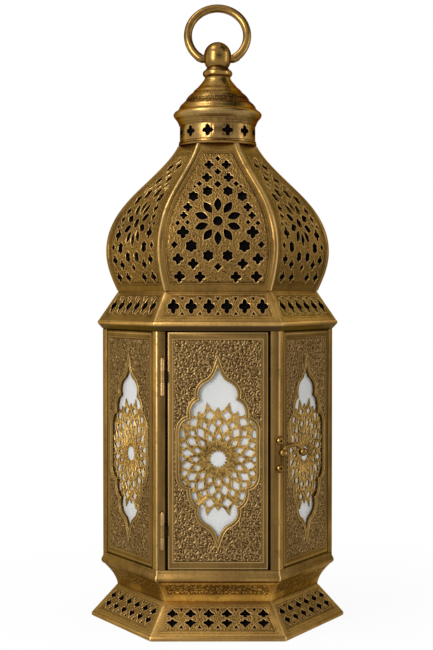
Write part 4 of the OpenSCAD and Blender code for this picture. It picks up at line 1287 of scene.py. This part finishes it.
@dataclass
class PiercedWork(SubAssembly):
    """Chased ground and raised rims round the holes of dome, cornice and skirt.

    The rim is a section: way out from a hole's edge and height over the sheet. The dome's holes
    have their place across and up and their size in shares of its radius and height, and a
    petal its length, width and way out from the rosette's middle.
    """

    cell: float = 0.4
    lift: float = 0.04
    rise: float = 0.3
    hole_gap: float = 0.4
    rim: tuple[Pair, ...] = (
        (0.0, -0.6), (0.0, 0.2), (0.25, 0.4), (0.6, 0.36), (0.85, -0.05),
    )
    pairs: tuple[tuple[float, float, float, Motif], ...] = (
        (0.075, 0.844, 0.044, Motif.QUATREFOIL), (0.093, 0.752, 0.046, Motif.QUATREFOIL),
        (0.158, 0.708, 0.026, Motif.DIAMOND), (0.198, 0.688, 0.015, Motif.DIAMOND),
        (0.088, 0.656, 0.048, Motif.ROUNDED), (0.209, 0.620, 0.048, Motif.ROUNDED),
        (0.255, 0.545, 0.041, Motif.QUATREFOIL), (0.290, 0.490, 0.035, Motif.QUATREFOIL),
        (0.256, 0.445, 0.022, Motif.DIAMOND), (0.340, 0.440, 0.024, Motif.DIAMOND),
        (0.295, 0.380, 0.057, Motif.QUATREFOIL), (0.225, 0.290, 0.055, Motif.ROUNDED),
        (0.368, 0.298, 0.033, Motif.DIAMOND), (0.082, 0.227, 0.051, Motif.ROUNDED),
        (0.338, 0.207, 0.050, Motif.QUATREFOIL), (0.210, 0.175, 0.048, Motif.QUATREFOIL),
        (0.326, 0.092, 0.050, Motif.QUATREFOIL), (0.152, 0.090, 0.048, Motif.QUATREFOIL),
    )
    middle: tuple[Pair, ...] = ((0.888, 0.026), (0.794, 0.033), (0.705, 0.035), (0.155, 0.035))
    rosette: float = 0.453
    eye: float = 0.043
    petal: Point = (0.124, 0.067, 0.145)
    petals: int = 10
    motif_size: float = 0.198
    motif_tall: float = 1.45
    small_size: float = 0.071
    spade_size: float = 0.19
    pitches: Pair = (0.168, 0.17)

    def build(self) -> None:
        """Models the work of the three front sheets once and copies it round."""
        s = SIZES
        skirt = Shell(np.array([s.skirt_foot, s.skirt_head]), False)
        top = (OGEE[0][0] * s.dome_r, s.dome_z)
        cornice = Shell(np.array([(s.cornice_low_r, s.cornice_z), top]), False)
        self.cover("dome", Shell(dome_line(7), True), self.dome_holes(), 6.0,
                   (s.dome_z + 5.8, s.collar_z - 7.6), 3.8)
        self.cover("cornice", cornice, self.cornice_holes(cornice.arc[-1]), 5.4,
                   (4.6, cornice.arc[-1] - 4.2), 3.4)
        self.cover("skirt", skirt, self.skirt_holes(skirt.arc[-1]), 6.0,
                   (3.9, skirt.arc[-1] - 4.9), 3.4)

    def cover(self, name: str, shell: Shell, holes: Sequence[np.ndarray], side: float,
              span: Pair, pitch: float) -> None:
        """Lays ground and rims over the six sheets of a shell.

        Args:
            name: what the shell is called.
            shell: its front sheet.
            holes: outlines of the sheet's holes, across and up.
            side: how far the ground stays off the sheet's sides in millimetres.
            span: where the ground starts and ends up the sheet.
            pitch: pitch of the scrolls in millimetres.
        """
        low, high = np.interp(span, shell.up, shell.arc)
        widest = shell.half.max()
        nx, ny = int(2 * (widest - side) / self.cell), int((high - low) / self.cell)
        along = np.linspace(low, high, ny + 1)
        up = np.interp(along, shell.arc, shell.up)
        reach = (np.interp(up, shell.up, shell.half) - side)[:, None]
        gx = np.linspace(-1, 1, nx + 1)[None, :] * reach
        gy, ga = (np.broadcast_to(v[:, None], gx.shape) for v in (up, along))
        rim = np.minimum(reach - np.abs(gx), np.minimum(ga - low, high - ga))
        h = Arabesque(widest, -4, shell.arc[-1] + 4, pitch).height(gx, ga, rim)
        hidden = np.zeros(gx.shape, bool)
        rims = []
        for loop in map(anticlockwise, holes):
            hidden |= inside(offset_outline(loop, self.hole_gap), gx, gy)
            rims.append(Bench.loft("rim", [shell.place(*offset_outline(loop, out).T, lift)
                                           for out, lift in self.rim]))
        spots = shell.place(gx, gy, self.lift + h * self.rise)
        work = {"ground": (Bench.relief(name + "_ground", spots, h, hidden), Look.CHASED),
                "rims": (Bench.join(rims, name + "_rims"), Look.RIM)}
        for turn, face in enumerate(FACES):
            for part, (obj, look) in work.items():
                self.keep(Bench.copy_to_face(obj, f"{name}_{face}_{part}", turn), "lantern",
                          "brass", look)
        for obj, _ in work.values():
            bpy.data.objects.remove(obj)

    def dome_holes(self) -> list[np.ndarray]:
        """Outlines of the holes in a dome panel.

        Returns:
            The outlines, across and by height.
        """
        r, low, tall = SIZES.dome_r, SIZES.dome_z, SIZES.dome_h
        holes = [lobed(motif, size * r) + (side * x * r, low + z * tall)
                 for x, z, size, motif in self.pairs for side in (-1, 1)]
        holes += [lobed(Motif.DIAMOND, size * r) + (0, low + z * tall) for z, size in self.middle]
        middle = (0, low + self.rosette * tall)
        a = 2 * np.pi * np.arange(12) / 12
        holes.append(self.eye * r * np.column_stack((np.cos(a), np.sin(a))) + middle)
        length, width, out = (share * r for share in self.petal)
        holes += [spun(leaf(length, width) + (0, out), 360 / self.petals * i) + middle
                  for i in range(self.petals)]
        return holes

    def cornice_holes(self, length: float) -> list[np.ndarray]:
        """Outlines of the holes in a cornice panel.

        Args:
            length: length of the panel up its slope.

        Returns:
            The outlines, across and up the slope.
        """
        pitch = self.pitches[0] * OGEE[0][0] * SIZES.dome_r
        tall = SIZES.dome_z - SIZES.cornice_z
        motif = lobed(Motif.QUATREFOIL, self.motif_size * tall) * (1, self.motif_tall)
        small = self.small_size * tall
        return [motif + (x, 0.49 * length) for x in columns(6, pitch)] + [
            triangle(size) + (x, up * length)
            for x in columns(5, pitch) for size, up in ((-small, 0.73), (small, 0.27))]

    def skirt_holes(self, length: float) -> list[np.ndarray]:
        """Outlines of the holes in a skirt panel.

        Args:
            length: length of the panel up its slope.

        Returns:
            The outlines, across and up the slope.
        """
        (_, low), (waist, high) = SIZES.skirt_foot, SIZES.skirt_head
        big = self.spade_size * (high - low)
        small = self.small_size * (SIZES.dome_z - SIZES.cornice_z)
        return [shape(size) + (x, up * length)
                for count, shape, pair in (
                    (6, spade, ((big, 0.655), (-big, 0.375))),
                    (5, triangle, ((-small, 0.755), (small, 0.275))))
                for x in columns(count, self.pitches[1] * waist) for size, up in pair]


@dataclass
class BodyFrame(SubAssembly):
    """Base, rails, posts and cornice, each rounded by a width in millimetres."""

    sharp: float = 25
    lining_inset: float = 1.75
    lining_t: float = 0.3
    rounded: tuple[tuple[str, float, Look, str], ...] = (
        ("foot_rim", 0.5, Look.FOOT, "brass"), ("cove_band", 0.3, Look.COVE, "brass"),
        ("bottom_rail", 0.45, Look.RAIL, "pale_brass"),
        ("cornice_moulding", 0.45, Look.MOULDING, "pale_brass"),
        ("base_panels", 0.2, Look.SKIRT, "brass"), ("cornice_panels", 0.2, Look.CORNICE, "brass"),
        *((f"post_{side}", 0.45, Look.FRAME_SHADED, "pale_brass")
          for side in ("right", "back_right", "back_left", "left")),
        *((f"post_{side}", 0.45, Look.FRAME, "pale_brass")
          for side in ("front_left", "front_right")),
    )

    def build(self) -> None:
        """Rounds and dresses the pieces of the six-sided frame."""
        for node, width, look, slot in self.rounded:
            self.keep(Bench.bevelled(node, width, self.sharp), "lantern", slot, look, [node])
        for node in ("floor_tray", "top_rail", "candle_cup"):
            self.dress_node(node, Look.INTERIOR_SHADE)
        s = SIZES
        self.line_shell("skirt_lining", [s.skirt_foot, s.skirt_head])
        self.line_shell("dome_lining", [(s.cornice_low_r, s.cornice_z), *dome_line(12)])

    def line_shell(self, name: str, line: Sequence[Pair]) -> None:
        """Models the thin near-black sheet behind a pierced six-sided shell, as painted shade seen
        through its holes.

        Args:
            name: name of the new piece.
            line: corner radius and height of the shell's outer side in millimetres.
        """
        rows = []
        for inset in (self.lining_inset, self.lining_inset + self.lining_t):
            skin = []
            for i, (r, z) in enumerate(line):
                (ra, za), (rb, zb) = line[max(i - 1, 0)], line[min(i + 1, len(line) - 1)]
                near = (r - inset * math.hypot(rb - ra, zb - za) / (zb - za) / FLAT) * MM
                skin.append([(near * math.cos(a), near * math.sin(a), z * MM)
                             for a in (SIXTH * k for k in range(SIDES))])
            rows += skin if not rows else skin[::-1]
        self.keep(Bench.loft(name, rows, angle=20), "lantern", "dark_brass", Look.DARK)


@dataclass
class OnionDome(SubAssembly):
    """Pierced dome with rounded ribs and beaded lines."""

    rib_half: float = 2.3
    rib_rise: float = 0.85
    rib_depth: float = 2.2
    rib_sunk: float = 0.1
    rib_fold: float = 0.75
    rib_back: float = 0.9
    bead_r: float = 0.42
    bead_pitch: float = 1.5
    bead_inset: float = 4.9
    bead_lift: float = 0.05
    beads_from: float = 4.2
    beads_short: float = 6.4
    bead_gap: float = 0.3

    def build(self) -> None:
        """Dresses the panels and models ribs and beads."""
        for side in ("front", *FACES[1:]):
            self.dress_node(f"dome_panel_{side}", Look.DOME)
        rib = self.rib()
        parts = [Bench.copy_to_face(rib, f"rib_{i}", i) for i in range(SIDES)]
        bpy.data.objects.remove(rib)
        self.keep(Bench.join(parts, "dome_ribs_rounded"), "lantern", "pale_brass", Look.RIB,
                  ["dome_ribs"])
        beads = Bench.scatter("dome_beads", self.bead_places(), self.bead_r)
        self.keep(beads, "lantern", "pale_brass", Look.RAIL)

    def rib(self) -> Object:
        """Models the rounded strip over the corner on +X.

        Returns:
            The strip.
        """
        t = np.linspace(-1, 1, 11)
        side = np.append(t, (self.rib_back, -self.rib_back)) * self.rib_half
        arch = self.rib_rise * np.sqrt(np.maximum(0.0, 1 - t * t)) - self.rib_sunk
        out = np.append(arch - np.abs(t) * self.rib_half * SLOPE * self.rib_fold,
                        (-self.rib_depth, -self.rib_depth))
        rows = [np.column_stack((r + out, side, np.full(len(side), z))) * MM
                for r, z in dome_line(16)]
        return Bench.loft("rib", rows, closed=False, angle=45)

    def bead_places(self) -> np.ndarray:
        """Middles of the beads along the edges of every panel.

        Returns:
            Their places in metres.
        """
        line = dome_line(24)
        along = np.concatenate(([0], np.cumsum(np.hypot(*np.diff(line, axis=0).T))))
        marks = np.arange(self.beads_from, along[-1] - self.beads_short, self.bead_pitch)
        r, z = (np.interp(marks, along, v) for v in line.T)
        half, out = r / 2 - self.bead_inset, -(r * FLAT + self.bead_lift)
        rows = [np.column_stack((sign * half, out, z)) for sign in (-1, 1)]
        for k in (0, -1):
            x = np.arange(-half[k] + self.bead_pitch, half[k] - self.bead_gap, self.bead_pitch)
            rows.append(np.column_stack((x, np.full((len(x), 2), (out[k], z[k])))))
        spots = np.vstack(rows) * MM
        return np.vstack([np.column_stack((spun(spots[:, :2], 60 * side), spots[:, 2]))
                          for side in range(SIDES)])


@dataclass
class Crown(SubAssembly):
    """Collar, gallery, cap, finial and ring.

    The cap's profile is in shares of its radius and height, the collar's in millimetres from
    the gallery's radius and the collar's foot.
    """

    cap_profile: tuple[Pair, ...] = (
        (0.865, 0.0), (0.885, 0.045), (0.905, 0.088), (0.935, 0.131), (0.968, 0.165),
        (0.99, 0.195), (1.0, 0.23), (0.99, 0.262), (0.965, 0.290), (0.925, 0.315),
        (0.885, 0.345), (0.868, 0.385), (0.842, 0.425), (0.822, 0.447), (0.765, 0.494),
        (0.73, 0.525), (0.7, 0.577), (0.668, 0.617), (0.648, 0.638), (0.592, 0.681),
        (0.564, 0.702), (0.53, 0.746), (0.508, 0.766), (0.46, 0.80), (0.412, 0.851),
        (0.36, 0.905), (0.305, 0.972), (0.295, 1.0),
    )
    collar_profile: tuple[Pair, ...] = (
        (0.1, 0.0), (0.75, 0.25), (1.0, 0.9), (0.8, 1.55), (0.3, 1.8), (0.65, 2.2), (0.6, 2.9),
        (0.0, 3.5), (-4.8, 3.5), (-4.8, 0.0),
    )
    turned_angle: float = 30
    stud_r: float = 3.05
    nut_r: float = 7.8
    wall: float = 1.2
    top_wall: float = 1.5
    hollow: Pair = (0.9, 0.23)
    step: float = 0.1
    gallery_round: float = 0.15
    lining_gaps: Pair = (0.1, 0.4)

    def build(self) -> None:
        """Models and dresses the crown."""
        s = SIZES
        cap = Bench.lathe("crown_cap_turned", self.cap_outline(), self.turned_angle)
        self.keep(cap, "lantern", "brass", Look.CAP, ["crown_cap"])
        collar = [(s.gallery_r + r, s.collar_z + z) for r, z in self.collar_profile]
        self.keep(Bench.lathe("dome_collar_turned", collar, self.turned_angle), "lantern",
                  "pale_brass", Look.WORN, ["dome_collar"])
        self.keep(Bench.bevelled("vent_gallery", self.gallery_round, 40), "lantern", "brass",
                  Look.GALLERY, ["vent_gallery"])
        # Near-black sheet inside the gallery: painted shade seen through its holes.
        outer, inner = (s.gallery_r - self.wall - gap for gap in self.lining_gaps)
        lining = Bench.lathe("gallery_lining", [(outer, s.gallery_z), (outer, s.cap_z),
                                                (inner, s.cap_z), (inner, s.gallery_z)], 35)
        self.keep(lining, "lantern", "dark_brass", Look.DARK)
        for node, look in (("finial", Look.WORN), ("finial_nut", Look.INTERIOR_SHADE),
                           ("bail_ring", Look.WORN)):
            self.dress_node(node, look)

    def cap_outline(self) -> list[Pair]:
        """Outline of the cap with its hollow.

        Returns:
            Radius and height in millimetres, outside up and inside down.
        """
        s = SIZES
        head, inner = s.finial_z - self.top_wall, s.gallery_r - self.wall
        return [*((a * s.cap_r, s.cap_z + b * s.cap_h) for a, b in self.cap_profile),
                (self.stud_r, s.finial_z), (self.stud_r, head), (self.nut_r, head),
                (self.hollow[0] * s.cap_r, s.cap_z + self.hollow[1] * s.cap_h),
                (inner, s.cap_z + self.step * s.cap_h), (inner, s.cap_z)]


@dataclass
class Hardware(SubAssembly):
    """Hinges and latch."""

    fittings: tuple[tuple[str, Look], ...] = (
        ("hinge_post_leaves", Look.HINGE), ("hinge_door_leaves", Look.HINGE_SHADOWED),
        ("hinge_pins", Look.HINGE), ("latch_plate", Look.PLATE), ("latch_rivets", Look.KNOB),
        ("latch_pivot", Look.KNOB), ("latch_lever", Look.KNOB),
    )

    def build(self) -> None:
        """Dresses the small fittings."""
        for node, look in self.fittings:
            self.dress_node(node, look)


@dataclass
class Studio:
    """Floor, world, lamps, dark cards and camera, in metres and degrees.

    A lamp is given by name, place, size and power, a card by name, place, size and tone, where
    0 is black.
    """

    eye: Point = (-0.00372, -1.02521, 0.23252)
    pitch: float = -1.2612
    yaw: float = -0.165
    lens: float = 78.911
    aim: Point = (0, 0, 0.2)
    lamps: tuple[tuple[str, Point, Pair, float], ...] = (
        ("key", (-0.80, -0.95, 0.60), (0.42, 0.9), 14.0),
        ("left", (-1.10, 0.35, 0.40), (0.5, 0.5), 0.9),
        ("right", (1.20, -0.25, 0.5), (0.2, 0.9), 2.8),
        ("top", (-0.45, -0.2, 1.2), (0.4, 0.4), 3.2),
    )
    cards: tuple[tuple[str, Point, Pair, float], ...] = (
        ("right_flag", (0.42, 0.225, 0.12), (0.36, 0.25), 0.3),
        ("side_flag", (-1.05, 0.85, 0.6), (0.6, 0.55), 0.03),
        ("front_flag", (0.28, -1.2, 0.56), (1.2, 0.38), 0.05),
        ("upper_flag", (0.58, -0.12, 1.2), (0.75, 0.75), 0.03),
    )
    floor_tone: float = 0.82
    near_glow: float = 0.93
    glow_from_to: Pair = (0.1, 0.4)
    world_light: float = 0.55

    def build(self) -> None:
        """Sets the scene up."""
        self.camera()
        self.floor()
        self.world()
        for name, place, size, power in self.lamps:
            data = bpy.data.lights.new(name, "AREA")
            data.shape = "RECTANGLE"
            data.size, data.size_y = size
            data.energy = power
            self.point(self.placed(name, data, place), "-Z")
        for name, place, size, tone in self.cards:
            obj = self.plane(name, 1, place)
            obj.scale = (*size, 1)
            self.point(obj, "Z")
            mat = bpy.data.materials.new("flag_cloth")
            mat.use_nodes = True
            base = mat.node_tree.nodes["Principled BSDF"].inputs["Base Color"]
            base.default_value = (tone, tone, tone, 1)
            obj.data.materials.append(mat)
            obj.visible_camera = obj.visible_shadow = obj.visible_diffuse = False
        bpy.context.scene.view_settings.view_transform = "Standard"

    def point(self, obj: Object, axis: str) -> None:
        """Turns an axis of a lamp or card to the lantern's middle."""
        way = Vector(self.aim) - obj.location
        obj.rotation_euler = way.to_track_quat(axis, "Y").to_euler()

    @staticmethod
    def placed(name: str, data: bpy.types.ID, place: Point) -> Object:
        """Puts a lamp or camera in the scene.

        Args:
            name: its name.
            data: what it is.
            place: where it stands in metres.

        Returns:
            Its object.
        """
        obj = bpy.data.objects.new(name, data)
        obj.location = place
        bpy.context.scene.collection.objects.link(obj)
        return obj

    @staticmethod
    def plane(name: str, size: float, place: Point) -> Object:
        """Lays a square plane of the stage.

        Args:
            name: its name.
            size: its width in metres.
            place: its middle in metres.

        Returns:
            Its object.
        """
        bpy.ops.object.select_all(action="DESELECT")
        bpy.ops.mesh.primitive_plane_add(size=size, location=place)
        bpy.context.object.name = name
        return bpy.context.object

    def camera(self) -> None:
        """Puts the camera at the picture's viewing angle."""
        data = bpy.data.cameras.new("camera")
        data.lens = self.lens
        data.sensor_width = 36
        cam = self.placed("camera", data, self.eye)
        cam.rotation_euler = (math.radians(90 + self.pitch), 0, math.radians(self.yaw))
        bpy.context.scene.camera = cam

    def floor(self) -> None:
        """Lays a white floor that keeps a soft shadow and glows to where it is seen."""
        obj = self.plane("floor", 30, (0, 0, 0))
        mat = bpy.data.materials.new("floor_white")
        mat.use_nodes = True
        n = Nodes(mat.node_tree)
        n.tree.nodes.clear()
        matte = n.value(n.add("BsdfDiffuse", {0: (*(self.floor_tone,) * 3, 1)}))
        glow = n.value(n.add("Emission", {0: (1, 1, 1, 1), 1: 1.0}))
        place = n.value(n.add("TexCoord", {}), "Object")
        far = n.value(n.add("VectorMath", {0: place}, operation="LENGTH"), 1)
        low, high = self.glow_from_to
        fade = n.value(n.add("MapRange", {"Value": far, "From Min": low, "From Max": high,
                                          "To Min": self.near_glow}))
        mix = n.add("MixShader", {0: n.seen() * fade, 1: matte, 2: glow})
        n.add("OutputMaterial", {0: n.value(mix)})
        obj.data.materials.append(mat)

    def world(self) -> None:
        """White surroundings, seen at full strength and lighting at a plain level."""
        world = bpy.data.worlds.new("studio")
        bpy.context.scene.world = world
        world.use_nodes = True
        n = Nodes(world.node_tree)
        back = n.tree.nodes["Background"]
        n.link((1, 1, 1, 1), back.inputs[0])
        level = n.add("MapRange", {"Value": n.seen(), "To Min": self.world_light})
        n.link(n.value(level), back.inputs[1])


def main() -> None:
    """Builds the lantern's looks."""
    logging.basicConfig(level=logging.INFO, format="%(name)s: %(message)s")
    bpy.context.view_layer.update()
    Studio().build()
    for assembly in (BodyFrame(), PanelWork(), PiercedWork(), OnionDome(), Crown(), Hardware()):
        assembly.build()


if __name__ == "__main__":
    main()
